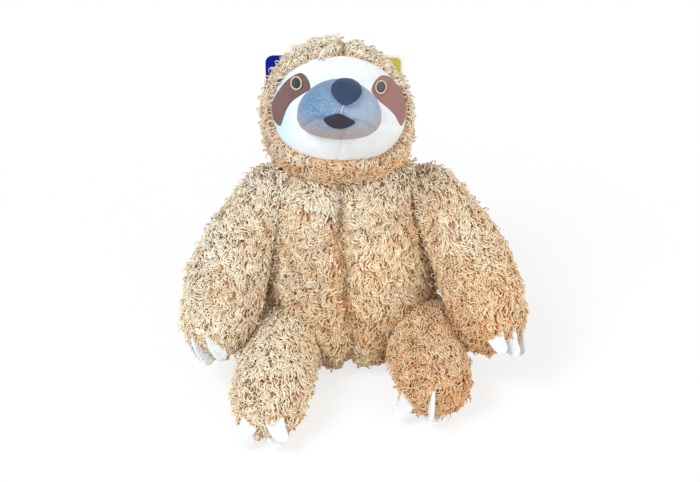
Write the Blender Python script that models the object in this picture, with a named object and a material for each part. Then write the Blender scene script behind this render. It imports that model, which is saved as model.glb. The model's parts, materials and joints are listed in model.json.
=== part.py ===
"""Seated plush sloth: a stuffed fur body, head and long limbs, felt claws, a soft face and a hanging card.

Metres, +Z up, the toy faces -Y and sits on Z = 0. Left and right are the toy's own, so its left is at +X.
"""

import math
from collections import namedtuple

import bmesh
import bpy
from mathutils import Matrix, Vector
from mathutils.bvhtree import BVHTree

# Fabrics and fits
CLEARANCE = 0.0003
LAYER_GAP = 0.0004
CUT_OVERRUN = 0.004
FUR_THICKNESS = 0.005
FACE_RECESS = 0.001
FLOOR_TRIM = 0.0005
SWEEP_ROOM = 0.001
SWEEP_SIDES = 12

# Torso, as sections of (height, width, depth) from the seat to the neck seam
TORSO_HEIGHT = 0.203
TORSO_WIDTH = 0.175
TORSO_DEPTH = 0.156
SEAT_CENTRE_X = 0.006
SEAT_CENTRE_Y = -0.018
NECK_CENTRE_X = -0.004
NECK_CENTRE_Y = 0.004
TORSO_SHARES = (
    (0.00, 0.56, 0.54),
    (0.03, 0.70, 0.66),
    (0.10, 0.87, 0.87),
    (0.22, 0.97, 0.98),
    (0.37, 1.00, 1.00),
    (0.52, 0.97, 0.95),
    (0.66, 0.90, 0.86),
    (0.78, 0.835, 0.77),
    (0.88, 0.80, 0.71),
    (0.96, 0.75, 0.66),
    (1.00, 0.69, 0.61),
)
TORSO_SIDES = 24
STUFFING_SIDES = 18
PELLET_BAG_WIDTH = 0.070
PELLET_BAG_DEPTH = 0.060
PELLET_BAG_HEIGHT = 0.030
PELLET_BAG_BACK = 0.010
PELLET_BAG_SIDES = 16

# Head, as sections of (height, width, depth) from the neck seam to the crown
HEAD_HEIGHT = 0.116
HEAD_WIDTH = 0.141
HEAD_DEPTH = 0.134
CROWN_X = -0.011
CROWN_Y = 0.008
HEAD_SHARES = (
    (0.00, 0.78, 0.74),
    (0.05, 0.89, 0.84),
    (0.13, 0.95, 0.92),
    (0.24, 0.99, 0.98),
    (0.37, 1.00, 1.00),
    (0.50, 0.98, 0.99),
    (0.63, 0.91, 0.93),
    (0.75, 0.78, 0.81),
    (0.86, 0.60, 0.63),
    (0.94, 0.39, 0.41),
    (0.985, 0.19, 0.20),
)
HEAD_SIDES = 24

# The face is laid out in a plane: out to the toy's left, and up, from a centre above the neck seam
FACE_RISE = 0.056
FACE_OUT = 0.002
FACE_PITCH_DEG = 23.0
FACE_YAW_DEG = 1.0
FACE_ROLL_DEG = 3.0
PANEL_WIDTH = 0.127
PANEL_TALL = 0.096
PANEL_UP = -0.0035
PANEL_SIDES = 36
PANEL_OUTLINE_SHARES = (
    (0.00, 0.50),
    (-0.24, 0.44),
    (-0.41, 0.28),
    (-0.495, 0.05),
    (-0.475, -0.18),
    (-0.37, -0.38),
    (-0.20, -0.475),
    (0.00, -0.50),
    (0.20, -0.475),
    (0.38, -0.38),
    (0.48, -0.18),
    (0.495, 0.05),
    (0.41, 0.28),
    (0.24, 0.44),
)
PATCH_WIDTH = 0.0345
PATCH_TALL = 0.051
PATCH_THICKNESS = 0.0012
PATCH_OUT = 0.045
PATCH_UP = 0.003
LEFT_PATCH_SHARES = (
    (-0.186, 0.500),
    (-0.330, 0.437),
    (-0.438, 0.318),
    (-0.472, 0.214),
    (-0.348, 0.094),
    (-0.171, -0.004),
    (0.029, -0.102),
    (0.197, -0.204),
    (0.304, -0.306),
    (0.388, -0.404),
    (0.461, -0.306),
    (0.490, -0.178),
    (0.481, -0.008),
    (0.406, 0.137),
    (0.304, 0.275),
    (0.145, 0.392),
    (0.014, 0.480),
)
RIGHT_PATCH_SHARES = (
    (-0.223, 0.480),
    (-0.391, 0.412),
    (-0.484, 0.304),
    (-0.496, 0.196),
    (-0.374, 0.129),
    (-0.194, 0.043),
    (-0.029, -0.049),
    (0.110, -0.186),
    (0.200, -0.333),
    (0.255, -0.480),
    (0.362, -0.437),
    (0.461, -0.324),
    (0.490, -0.176),
    (0.470, -0.020),
    (0.371, 0.137),
    (0.217, 0.284),
    (0.014, 0.412),
)
PATCH_SIDES = 36
EYE_RING_WIDTH = 0.0115
EYE_RING_TALL = 0.0135
PUPIL_WIDTH = 0.0076
PUPIL_TALL = 0.0094
LEFT_EYE_OUT = 0.0376
RIGHT_EYE_OUT = 0.0408
EYE_UP = 0.0178
EYE_TILT_DEG = 12.0
THREAD_THICKNESS = 0.0010
EYE_SIDES = 16
MUZZLE_WIDTH = 0.0765
MUZZLE_TALL = 0.0585
MUZZLE_PROJECTION = 0.030
MUZZLE_TAPER_SHARE = 0.22
MUZZLE_FULL_SHARE = 0.75
MUZZLE_UP = -0.00275
MUZZLE_THICKNESS = 0.002
MUZZLE_SIDES = 20
MUZZLE_RINGS = 10
NOSE_WIDTH = 0.0285
NOSE_TALL = 0.0235
NOSE_THICKNESS = 0.005
NOSE_OUT = 0.0053
NOSE_UP = 0.0125
NOSE_OUTLINE_SHARES = (
    (0.00, 0.50),
    (-0.26, 0.46),
    (-0.46, 0.22),
    (-0.48, -0.08),
    (-0.30, -0.36),
    (0.00, -0.54),
    (0.30, -0.36),
    (0.48, -0.08),
    (0.46, 0.22),
    (0.26, 0.46),
)
MOUTH_WIDTH = 0.029
MOUTH_TALL = 0.014
MOUTH_THICKNESS = 0.0012
MOUTH_UP = -0.0145
MOUTH_OUTLINE_SHARES = (
    (0.00, 0.50),
    (-0.25, 0.38),
    (-0.50, 0.10),
    (-0.30, -0.34),
    (0.00, -0.50),
    (0.30, -0.34),
    (0.50, 0.00),
    (0.25, 0.30),
)
TRIM_SIDES = 20
APPLIQUE_RING_SHARES = (0.25, 0.5, 0.7, 0.85, 1.0)

# Limbs, as sections of (distance along, radius) from the joint to the paw
LIMB_SIDES = 16
LIMB_STUFFING_SIDES = 12
LIMB_ROOT_DEGS = (30.0, 60.0)
LIMB_STUFFING_ROOT_DEGS = (24.0, 42.0)
LIMB_MOUTH_SHARE = 0.69
PAW_END_SHARES = (
    (0.34, 0.95),
    (0.64, 0.80),
    (0.85, 0.55),
    (0.96, 0.28),
)
SOCKET_SIDES = 20

# Arms
ARM_RADIUS = 0.0345
ARM_LENGTH = 0.134
ARM_BOW = 0.011
SHOULDER_DROP = 0.043
SHOULDER_OUT = 0.004
SHOULDER_LEAN = 0.007
SHOULDER_BACK = 0.004
LEFT_ARM_FORWARD_DEG = 42.0
LEFT_ARM_SPREAD_DEG = 26.0
RIGHT_ARM_FORWARD_DEG = 44.0
RIGHT_ARM_SPREAD_DEG = 22.5
ARM_LIFT_DEG = 90.0
ARM_LIFT_STEPS = 6
ARM_LIFT_REACH_SHARE = 0.4
ARM_SHARES = (
    (0.00, 0.90),
    (0.20, 0.89),
    (0.40, 0.97),
    (0.60, 1.04),
    (0.80, 1.06),
    (1.00, 1.00),
)

# Legs
LEG_RADIUS = 0.035
LEG_LENGTH = 0.100
HIP_INSET = 0.0215
LEFT_HIP_BEHIND_FRONT = 0.066
RIGHT_HIP_BEHIND_FRONT = 0.036
LEFT_LEG_SPLAY_DEG = 7.5
RIGHT_LEG_SPLAY_DEG = 6.0
LEG_DROP_DEG = 60.0
LEG_DROP_STEPS = 3
LEG_SHARES = (
    (0.00, 0.96),
    (0.20, 0.98),
    (0.45, 1.00),
    (0.70, 0.99),
    (1.00, 0.96),
)

# Claws: each row has a name, then where it is rooted on the paw, where it points and how it is rolled.
# A way is an angle round from straight ahead to the toy's left, and an angle above the level.
CLAW_LENGTH = 0.030
CLAW_WIDTH = 0.018
CLAW_THICKNESS = 0.0035
CLAW_TIP_SHARE = 0.72
CLAW_SEAT_SHARE = 0.84
CLAW_BEND_DEG = 34.0
CLAW_STEPS = 6
CLAW_TIP_DEGS = (55.0, 20.0, -20.0, -55.0)
RIGHT_ARM_CLAWS = (
    ("front", (-4.0, 8.0), (4.0, -50.0), -24.0),
    ("middle", (-36.0, -10.0), (10.0, -52.0), -28.0),
    ("back", (-70.0, -22.0), (16.0, -54.0), -32.0),
)
LEFT_ARM_CLAWS = (
    ("front", (2.0, 16.0), (4.0, -52.0), 24.0),
    ("middle", (32.0, 6.0), (0.0, -54.0), 28.0),
    ("back", (62.0, -6.0), (-4.0, -54.0), 32.0),
)
RIGHT_LEG_CLAWS = (
    ("outer", (-30.0, -2.0), (-18.0, -50.0), 160.0),
    ("middle", (12.0, 8.0), (2.0, -36.0), 0.0),
    ("inner", (14.0, -60.0), (-4.0, 1.0), 0.0),
)
LEFT_LEG_CLAWS = (
    ("inner", (-50.0, -4.0), (-24.0, -52.0), 160.0),
    ("middle", (-6.0, 8.0), (-8.0, -38.0), 78.0),
    ("outer", (26.0, -56.0), (-40.0, 1.0), 0.0),
)

# Hanging card and the plastic pin that holds it behind the head
CARD_WIDTH = 0.139
CARD_TALL = 0.062
CARD_THICKNESS = 0.0012
CARD_CORNER = 0.008
CARD_CORNER_STEPS = 4
CARD_RISE = 0.077
CARD_STAND_OFF = 0.006
CARD_HOLE_RADIUS = 0.0025
CARD_HOLE_DOWN = 0.009
PIN_RADIUS = 0.0006
PIN_PLAY = 0.00085
PIN_BAR_LENGTH = 0.008
PIN_PADDLE_RADIUS = 0.0035
PIN_PADDLE_THICKNESS = 0.001
PIN_PADDLE_GAP = 0.0045
PIN_BAR_INSIDE = 0.003
SMALL_SIDES = 12

FINISHES = {
    "fur": ((0.66, 0.48, 0.30), 0.95),
    "wadding": ((0.86, 0.86, 0.84), 1.0),
    "pellet_cloth": ((0.70, 0.70, 0.68), 0.9),
    "face_plush": ((0.84, 0.87, 0.88), 0.9),
    "suede": ((0.27, 0.15, 0.13), 0.85),
    "muzzle_velour": ((0.24, 0.34, 0.50), 0.8),
    "nose_cloth": ((0.05, 0.08, 0.15), 0.7),
    "mouth_cloth": ((0.05, 0.05, 0.07), 0.9),
    "cream_thread": ((0.78, 0.66, 0.50), 0.6),
    "navy_thread": ((0.01, 0.015, 0.04), 0.5),
    "claw_felt": ((0.90, 0.92, 0.93), 0.9),
    "card": ((0.02, 0.04, 0.30), 0.5),
    "nylon": ((0.85, 0.85, 0.85), 0.3),
}

Limb = namedtuple("Limb", "name joint shares radius spine level")


def clear_scene():
    """Removes every object that the file opened with."""
    for obj in list(bpy.data.objects):
        bpy.data.objects.remove(obj)


def finish_material(name):
    """Returns the named finish's material, made once."""
    if name in bpy.data.materials:
        return bpy.data.materials[name]
    colour, roughness = FINISHES[name]
    made = bpy.data.materials.new(name)
    made.use_nodes = True
    shader = made.node_tree.nodes["Principled BSDF"]
    shader.inputs["Base Color"].default_value = (*colour, 1.0)
    shader.inputs["Roughness"].default_value = roughness
    shader.inputs["Metallic"].default_value = 0.0
    return made


def make_object(name, bm, finish=None, parent=None, place=None):
    """Turns a closed bmesh into an object. Without a finish it is a cutter, which is not part of the toy."""
    bmesh.ops.recalc_face_normals(bm, faces=bm.faces)
    mesh = bpy.data.meshes.new(name)
    bm.to_mesh(mesh)
    bm.free()
    mesh.shade_smooth()
    obj = bpy.data.objects.new(name, mesh)
    bpy.context.scene.collection.objects.link(obj)
    obj.parent = parent
    if place is not None:
        obj.matrix_local = place
    if finish is None:
        obj.hide_render = True
        obj.display_type = "WIRE"
    else:
        mesh.materials.append(finish_material(finish))
    return obj


def joint_empty(name, place, parent=None):
    """Adds an empty on a joint's axis, which carries the pieces that move there."""
    empty = bpy.data.objects.new(name, None)
    bpy.context.scene.collection.objects.link(empty)
    empty.parent = parent
    empty.location = place
    return empty


def cut(obj, other, operation="DIFFERENCE"):
    """Adds an exact Boolean of obj with other."""
    made = obj.modifiers.new(other.name, "BOOLEAN")
    made.operation = operation
    made.solver = "EXACT"
    made.object = other


def add_loop(bm, centre, across, along, count):
    """Adds a ring of vertices round centre, from its two half axes."""
    loop = []
    for step in range(count):
        angle = 2 * math.pi * step / count
        point = centre + across * math.cos(angle) + along * math.sin(angle)
        loop.append(bm.verts.new(point))
    return loop


def bridge(bm, low, high):
    """Joins two loops of the same count with quads."""
    for step, corner in enumerate(low):
        after = (step + 1) % len(low)
        bm.faces.new((corner, low[after], high[after], high[step]))


def close_loop(bm, loop, point):
    """Closes a loop flat, or with a fan to a point."""
    if point is None:
        bm.faces.new(loop)
        return
    tip = bm.verts.new(point)
    for step, corner in enumerate(loop):
        bm.faces.new((corner, loop[(step + 1) % len(loop)], tip))


def skin(bm, loops, start=None, end=None):
    """Bridges the loops in turn and closes both ends."""
    for low, high in zip(loops, loops[1:]):
        bridge(bm, low, high)
    close_loop(bm, loops[0], start)
    close_loop(bm, loops[-1], end)


def read_shares(shares, along):
    """Reads a table of rows (place, value, ...) at any place between its ends."""
    for low, high in zip(shares, shares[1:]):
        if along <= high[0]:
            part = (along - low[0]) / (high[0] - low[0])
            return [a + (b - a) * part for a, b in zip(low[1:], high[1:])]
    return list(shares[-1][1:])


def stacked_form(shares, width, depth, levels, centres, sides, crown, overrun):
    """Elliptical sections stacked between two levels and centres, with a crown at the top or a flat one."""
    base, top = levels
    bm = bmesh.new()
    loops = []
    for height_share, width_share, depth_share in shares:
        centre = centres[0].lerp(centres[1], height_share)
        centre.z = base + (top - base) * height_share
        across = Vector((width / 2 * width_share, 0, 0))
        along = Vector((0, depth / 2 * depth_share, 0))
        loops.append(add_loop(bm, centre, across, along, sides))
    if overrun:
        flat = loops[0] if crown else loops[-1]
        shift = Vector((0, 0, -overrun if crown else overrun))
        past = [bm.verts.new(vert.co + shift) for vert in flat]
        loops.insert(0 if crown else len(loops), past)
    end = None
    if crown:
        end = Vector((centres[1].x, centres[1].y, top))
    skin(bm, loops, end=end)
    bmesh.ops.triangulate(bm, faces=bm.faces, quad_method="FIXED")
    return bm


SEAT_CENTRE = Vector((SEAT_CENTRE_X, SEAT_CENTRE_Y, 0))
NECK_CENTRE = Vector((NECK_CENTRE_X, NECK_CENTRE_Y, 0))
CROWN_CENTRE = Vector((CROWN_X, CROWN_Y, 0))


def torso_form(inset, sides, overrun=0):
    """The torso's form, drawn in by inset, from the seat to the neck seam and an overrun past it."""
    size = (TORSO_WIDTH - 2 * inset, TORSO_DEPTH - 2 * inset)
    levels = (inset, TORSO_HEIGHT)
    return stacked_form(TORSO_SHARES, *size, levels, (SEAT_CENTRE, NECK_CENTRE), sides, False, overrun)


def torso_section(height):
    """Centre, half width and half depth of the torso at a height."""
    share = height / TORSO_HEIGHT
    width_share, depth_share = read_shares(TORSO_SHARES, share)
    centre = SEAT_CENTRE.lerp(NECK_CENTRE, share)
    centre.z = height
    return centre, TORSO_WIDTH / 2 * width_share, TORSO_DEPTH / 2 * depth_share


def head_form(inset, sides, overrun=0):
    """The head's form, drawn in by inset, from an overrun below the neck seam to the crown."""
    size = (HEAD_WIDTH - 2 * inset, HEAD_DEPTH - 2 * inset)
    levels = (TORSO_HEIGHT + CLEARANCE, TORSO_HEIGHT + HEAD_HEIGHT - inset)
    return stacked_form(HEAD_SHARES, *size, levels, (NECK_CENTRE, CROWN_CENTRE), sides, True, overrun)


def limb_root(limb):
    """Radius of a limb's ball root."""
    return limb.radius * limb.shares[0][1]


def limb_sections(limb, inset):
    """Centre, direction and radius of each section of a limb, drawn in by inset."""
    sections = []
    for along_share, radius_share in limb.shares:
        centre, direction = limb.spine(along_share)
        if limb.level:
            centre.z += limb.radius * radius_share - limb_root(limb)
        sections.append((centre, direction, limb.radius * radius_share - inset))
    return sections


def limb_ball(limb, degrees):
    """Sections of a limb's ball root at the given angles from its pole."""
    centre, direction = limb.spine(0)
    root = limb_root(limb)
    sections = []
    for turn in map(math.radians, degrees):
        sections.append((centre - direction * root * math.cos(turn), direction, root * math.sin(turn)))
    return sections


def paw_sections(last):
    """Sections that round off the paw past a limb's last section."""
    centre, direction, radius = last
    rounded = []
    for past_share, radius_share in PAW_END_SHARES:
        rounded.append((centre + direction * radius * past_share, direction, radius * radius_share))
    return rounded


def limb_mesh(sections, sides, start, end):
    """Skins round sections, with fans to the points given for its ends."""
    bm = bmesh.new()
    loops = []
    for centre, direction, radius in sections:
        side = Vector((1, 0, 0))
        side = (side - direction * side.dot(direction)).normalized()
        loops.append(add_loop(bm, centre, side * radius, direction.cross(side) * radius, sides))
    skin(bm, loops, start, end)
    bmesh.ops.triangulate(bm, faces=bm.faces)
    return bm


def limb_outer(limb, grow=0.0):
    """A limb's outer form: a ball root round its joint, the swelling tube and the rounded paw."""
    tube = limb_sections(limb, -grow)
    end, facing, radius = tube[-1]
    centre, direction, _ = tube[0]
    sections = limb_ball(limb, LIMB_ROOT_DEGS) + tube + paw_sections(tube[-1])
    pole = centre - direction * limb_root(limb)
    return limb_mesh(sections, LIMB_SIDES, pole, end + facing * radius)


def limb_sweep(limb, reach_share=1.0):
    """The room that a limb's tube takes past its ball root, as far as a share of its length."""
    flat = math.cos(math.pi / SWEEP_SIDES)
    sections = []
    for (along_share, _), (centre, direction, radius) in zip(limb.shares, limb_sections(limb, 0.0)):
        if along_share <= reach_share:
            sections.append((centre, direction, (radius + SWEEP_ROOM) / flat))
    end, facing, radius = sections[-1]
    sections.append((end + facing * radius, facing, radius))
    return limb_mesh(sections, SWEEP_SIDES, None, None)


def limb_cavity(limb):
    """The hollow inside a limb's fur, open through its root."""
    tube = limb_sections(limb, FUR_THICKNESS)
    centre, direction, _ = tube[0]
    root = limb_root(limb)
    mouth = (centre - direction * (root + CUT_OVERRUN), direction, root * LIMB_MOUTH_SHARE)
    end, facing, radius = tube[-1]
    sections = [mouth] + tube + paw_sections(tube[-1])
    return limb_mesh(sections, LIMB_STUFFING_SIDES, None, end + facing * radius)


def limb_wadding(limb):
    """A limb's stuffing, with a ball end flush with the root of its fur."""
    tube = limb_sections(limb, FUR_THICKNESS + CLEARANCE)
    centre, direction, _ = tube[0]
    end, facing, radius = tube[-1]
    sections = limb_ball(limb, LIMB_STUFFING_ROOT_DEGS) + tube + paw_sections(tube[-1])
    pole = centre - direction * limb_root(limb)
    return limb_mesh(sections, LIMB_STUFFING_SIDES, pole, end + facing * radius)


def arm_spine(forward_deg, spread_deg, side):
    """The curve of an arm that hangs from its shoulder, bowed out at the elbow."""
    forward = math.radians(forward_deg)
    spread = math.radians(spread_deg)
    hang = Vector((0, -math.sin(forward), -math.cos(forward)))
    outward = Vector((side, 0, 0))
    chord = hang * math.cos(spread) + outward * math.sin(spread)
    bow_way = outward * math.cos(spread) - hang * math.sin(spread)

    def spine(share):
        centre = chord * ARM_LENGTH * share + bow_way * ARM_BOW * 4 * share * (1 - share)
        heading = chord * ARM_LENGTH + bow_way * ARM_BOW * 4 * (1 - 2 * share)
        return centre, heading.normalized()

    return spine


def leg_spine(splay_deg, side):
    """The line of a leg that lies forward on the floor."""
    splay = math.radians(splay_deg)
    direction = Vector((side * math.sin(splay), -math.cos(splay), 0))

    def spine(share):
        return direction * LEG_LENGTH * share, direction

    return spine


def socket_ball(root):
    """A faceted ball whose flats still clear a limb's ball root."""
    bm = bmesh.new()
    flat = math.cos(math.pi / SOCKET_SIDES)
    radius = (root + CLEARANCE) / flat**2
    bmesh.ops.create_uvsphere(bm, u_segments=SOCKET_SIDES, v_segments=SOCKET_SIDES // 2, radius=radius)
    return bm


def turning_room(limb, reach_share, degrees, steps, axis):
    """The room that a limb takes as it turns on its joint, with its socket, as one convex form."""
    ball = socket_ball(limb_root(limb))
    places = [vert.co.copy() for vert in ball.verts]
    ball.free()
    tube = limb_sweep(limb, reach_share)
    for step in range(steps + 1):
        turned = Matrix.Rotation(math.radians(degrees * step / steps), 4, axis)
        places += [turned @ vert.co for vert in tube.verts]
    tube.free()
    bm = bmesh.new()
    for point in places:
        bm.verts.new(point)
    found = bmesh.ops.convex_hull(bm, input=bm.verts)
    left_over = set(found["geom_interior"] + found["geom_unused"])
    inner = [item for item in left_over if isinstance(item, bmesh.types.BMVert)]
    bmesh.ops.delete(bm, geom=inner, context="VERTS")
    return bm


def floor_block():
    """A block whose top is the floor."""
    bm = bmesh.new()
    span = 2 * (TORSO_HEIGHT + HEAD_HEIGHT)
    bmesh.ops.create_cube(bm, size=span)
    bmesh.ops.translate(bm, verts=bm.verts, vec=(0, 0, -span / 2))
    return make_object("floor_cutter", bm)


def ellipsoid(width, depth, height, sides):
    """A bmesh of a round cushion about the origin."""
    bm = bmesh.new()
    bmesh.ops.create_uvsphere(bm, u_segments=sides, v_segments=sides // 2, radius=width / 2)
    bmesh.ops.scale(bm, vec=(1, depth / width, height / width), verts=bm.verts)
    return bm


def block(low, high):
    """A bmesh of a box between two corners."""
    bm = bmesh.new()
    bmesh.ops.create_cube(bm, size=2 * high.length)
    for vert in bm.verts:
        vert.co = [top if at > 0 else bottom for at, bottom, top in zip(vert.co, low, high)]
    return bm


def rod(radius, length, sides):
    """A bmesh of a round rod along Z about the origin."""
    bm = bmesh.new()
    ends = {"cap_ends": True, "segments": sides}
    bmesh.ops.create_cone(bm, radius1=radius, radius2=radius, depth=length, **ends)
    return bm


def build_limb(limb):
    """Builds a limb's fur and stuffing on its joint, and returns its fur."""
    fur = make_object(f"{limb.name}_skin", limb_outer(limb), "fur", limb.joint)
    cut(fur, make_object(f"{limb.name}_cavity_cutter", limb_cavity(limb), parent=limb.joint))
    make_object(f"{limb.name}_stuffing", limb_wadding(limb), "wadding", limb.joint)
    return fur


def claw_blade():
    """A flat felt claw that grows along +Z from the origin and bends towards -Y, with a rounded tip."""
    bm = bmesh.new()
    bend = math.radians(CLAW_BEND_DEG)
    tip_radius = CLAW_WIDTH / 2 * CLAW_TIP_SHARE
    bend_radius = (CLAW_LENGTH - tip_radius) / bend
    inner = []
    outer = []
    for step in range(CLAW_STEPS + 1):
        share = step / CLAW_STEPS
        turn = bend * share
        half = CLAW_WIDTH / 2 * (1 - (1 - CLAW_TIP_SHARE) * share**2)
        centre = Vector((0, bend_radius * (math.cos(turn) - 1), bend_radius * math.sin(turn)))
        inward = Vector((0, -math.cos(turn), -math.sin(turn)))
        inner.append(centre + inward * half)
        outer.append(centre - inward * half)
    tip_centre = (inner[-1] + outer[-1]) / 2
    inward = (inner[-1] - tip_centre).normalized()
    onward = Vector((0, -math.sin(bend), math.cos(bend)))
    tip = []
    for turn in map(math.radians, CLAW_TIP_DEGS):
        tip.append(tip_centre + (inward * math.sin(turn) + onward * math.cos(turn)) * tip_radius)
    outline = inner + tip + outer[::-1]
    half_thick = Vector((CLAW_THICKNESS / 2, 0, 0))
    near = [bm.verts.new(point + half_thick) for point in outline]
    far = [bm.verts.new(point - half_thick) for point in outline]
    skin(bm, [near, far])
    return bm


def way(angles):
    """A direction from its angle round from straight ahead and its angle above the level."""
    around, above = map(math.radians, angles)
    return Vector((math.sin(around) * math.cos(above), -math.cos(around) * math.cos(above), math.sin(above)))


def build_claws(limb, table, floor):
    """Sews the claws of a table to a paw, each cut back to the surface of the fur."""
    keep_off = make_object(f"{limb.name}_claw_cutter", limb_outer(limb, CLEARANCE), parent=limb.joint)
    centre, _, radius = limb_sections(limb, 0.0)[-1]
    for label, rooted, points_to, roll_deg in table:
        onward = way(points_to)
        upward = Vector((0, 0, 1))
        facing = (upward - onward * upward.dot(onward)).normalized()
        facing = Matrix.Rotation(math.radians(roll_deg), 3, onward) @ facing
        turned = Matrix((facing, onward.cross(facing), onward)).transposed().to_4x4()
        place = Matrix.Translation(centre + way(rooted) * radius * CLAW_SEAT_SHARE) @ turned
        claw = make_object(f"{limb.name}_claw_{label}", claw_blade(), "claw_felt", limb.joint, place)
        cut(claw, keep_off)
        cut(claw, floor)


def build_torso(cutters):
    """Torso fur, its stuffing and the pellet bag in the seat, with room for the limbs."""
    fur = make_object("torso_skin", torso_form(0.0, TORSO_SIDES), "fur")
    hollow = torso_form(FUR_THICKNESS, STUFFING_SIDES, CUT_OVERRUN)
    cut(fur, make_object("torso_cavity_cutter", hollow))
    inside = FUR_THICKNESS + CLEARANCE
    wadding = make_object("torso_stuffing", torso_form(inside, STUFFING_SIDES), "wadding")
    for cutter in cutters:
        cut(fur, cutter)
        cut(wadding, cutter)
    lift = inside + PELLET_BAG_HEIGHT / 2
    place = Matrix.Translation((SEAT_CENTRE_X, SEAT_CENTRE_Y + PELLET_BAG_BACK, lift))
    bag = ellipsoid(PELLET_BAG_WIDTH, PELLET_BAG_DEPTH, PELLET_BAG_HEIGHT, PELLET_BAG_SIDES)
    make_object("pellet_bag", bag, "pellet_cloth", place=place)
    room = 2 * LAYER_GAP
    roomy = (PELLET_BAG_WIDTH + room, PELLET_BAG_DEPTH + room, PELLET_BAG_HEIGHT + room)
    pocket = ellipsoid(*roomy, PELLET_BAG_SIDES)
    below = [vert for vert in pocket.verts if vert.co.z < -LAYER_GAP]
    for vert in below:
        vert.co.z = -lift
    cut(wadding, make_object("pellet_pocket_cutter", pocket, place=place))


def face_frame():
    """The matrix of the face plane: X out to the toy's left, Y up the face, Z forwards along the muzzle."""
    centre = NECK_CENTRE.lerp(CROWN_CENTRE, FACE_RISE / HEAD_HEIGHT)
    centre += Vector((FACE_OUT, 0, TORSO_HEIGHT + FACE_RISE))
    upright = Matrix.Rotation(math.pi / 2, 4, "X")
    yaw = Matrix.Rotation(math.radians(FACE_YAW_DEG), 4, "Z")
    pitch = Matrix.Rotation(math.radians(-FACE_PITCH_DEG), 4, "X")
    roll = Matrix.Rotation(math.radians(-FACE_ROLL_DEG), 4, "Z")
    return Matrix.Translation(centre) @ yaw @ pitch @ upright @ roll


def smooth_outline(shares, width, tall, count):
    """Points on a smooth closed curve through an outline's shares, in metres."""
    points = [Vector((x * width, y * tall)) for x, y in shares]
    rows = []
    for step in range(count):
        place = step * len(points) / count
        index = int(place)
        part = place - index
        before, here, after, beyond = (points[(index + shift) % len(points)] for shift in (-1, 0, 1, 2))
        rise = (after - before) / 2
        fall = (beyond - here) / 2
        start = here * (1 + 2 * part) * (1 - part) ** 2 + rise * part * (1 - part) ** 2
        finish = after * part**2 * (3 - 2 * part) + fall * part**2 * (part - 1)
        rows.append(start + finish)
    return rows


def oval(width, tall, count):
    """Points round an oval, in metres."""
    rows = []
    for step in range(count):
        turn = 2 * math.pi * step / count
        rows.append(Vector((width / 2 * math.cos(turn), tall / 2 * math.sin(turn))))
    return rows


def prism(outline, frame, reach):
    """A bmesh of an outline in a frame, drawn forwards from the frame's plane to its reach."""
    bm = bmesh.new()
    near = [bm.verts.new(frame @ Vector((point.x, point.y, 0))) for point in outline]
    far = [bm.verts.new(frame @ Vector((point.x, point.y, reach))) for point in outline]
    skin(bm, [near, far])
    return bm


def lay_on(base, frame, point, lift):
    """The point that stands a lift in front of a base surface, behind a point of the face plane."""
    ahead = frame @ Vector((point.x, point.y, HEAD_DEPTH))
    forwards = (frame.to_3x3() @ Vector((0, 0, 1))).normalized()
    hit = base.ray_cast(ahead, -forwards)[0]
    return hit + forwards * lift


def applique(base, frame, outline, thickness, hole=None):
    """A bmesh of a flat piece sewn on a base surface, a layer's gap above what it covers."""
    middle = sum(outline, Vector((0, 0))) / len(outline)
    rings = [hole, outline]
    if hole is None:
        rings = [[middle + (point - middle) * share for point in outline] for share in APPLIQUE_RING_SHARES]
    bm = bmesh.new()
    layers = []
    for lift in (LAYER_GAP, LAYER_GAP + thickness):
        loops = []
        for ring in rings:
            loops.append([bm.verts.new(lay_on(base, frame, point, lift)) for point in ring])
        for low, high in zip(loops, loops[1:]):
            bridge(bm, low, high)
        if hole is None:
            close_loop(bm, loops[0], lay_on(base, frame, middle, lift))
        layers.append(loops)
    bridge(bm, layers[0][-1], layers[1][-1])
    if hole is not None:
        bridge(bm, layers[0][0], layers[1][0])
    return bm


def muzzle_form(frame, inset):
    """The muzzle's padded form on the face plane, wider below than above, drawn in by inset."""
    bm = bmesh.new()
    bmesh.ops.create_uvsphere(bm, u_segments=MUZZLE_SIDES, v_segments=MUZZLE_RINGS, radius=1.0)
    half_wide = MUZZLE_WIDTH / 2 - inset
    half_tall = MUZZLE_TALL / 2 - inset
    seat = HEAD_DEPTH / 2 - FUR_THICKNESS
    for vert in bm.verts:
        out, up, fore = vert.co
        taper = 1 - MUZZLE_TAPER_SHARE * up
        if up < 0:
            up = -((-up) ** MUZZLE_FULL_SHARE)
        place = Vector((out * half_wide * taper, up * half_tall, fore * (MUZZLE_PROJECTION - inset)))
        vert.co = frame @ (place + Vector((0, MUZZLE_UP, seat)))
    return bm


def bmesh_tree(bm):
    """A search tree of a bmesh, which it frees."""
    tree = BVHTree.FromBMesh(bm)
    bm.free()
    return tree


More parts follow.
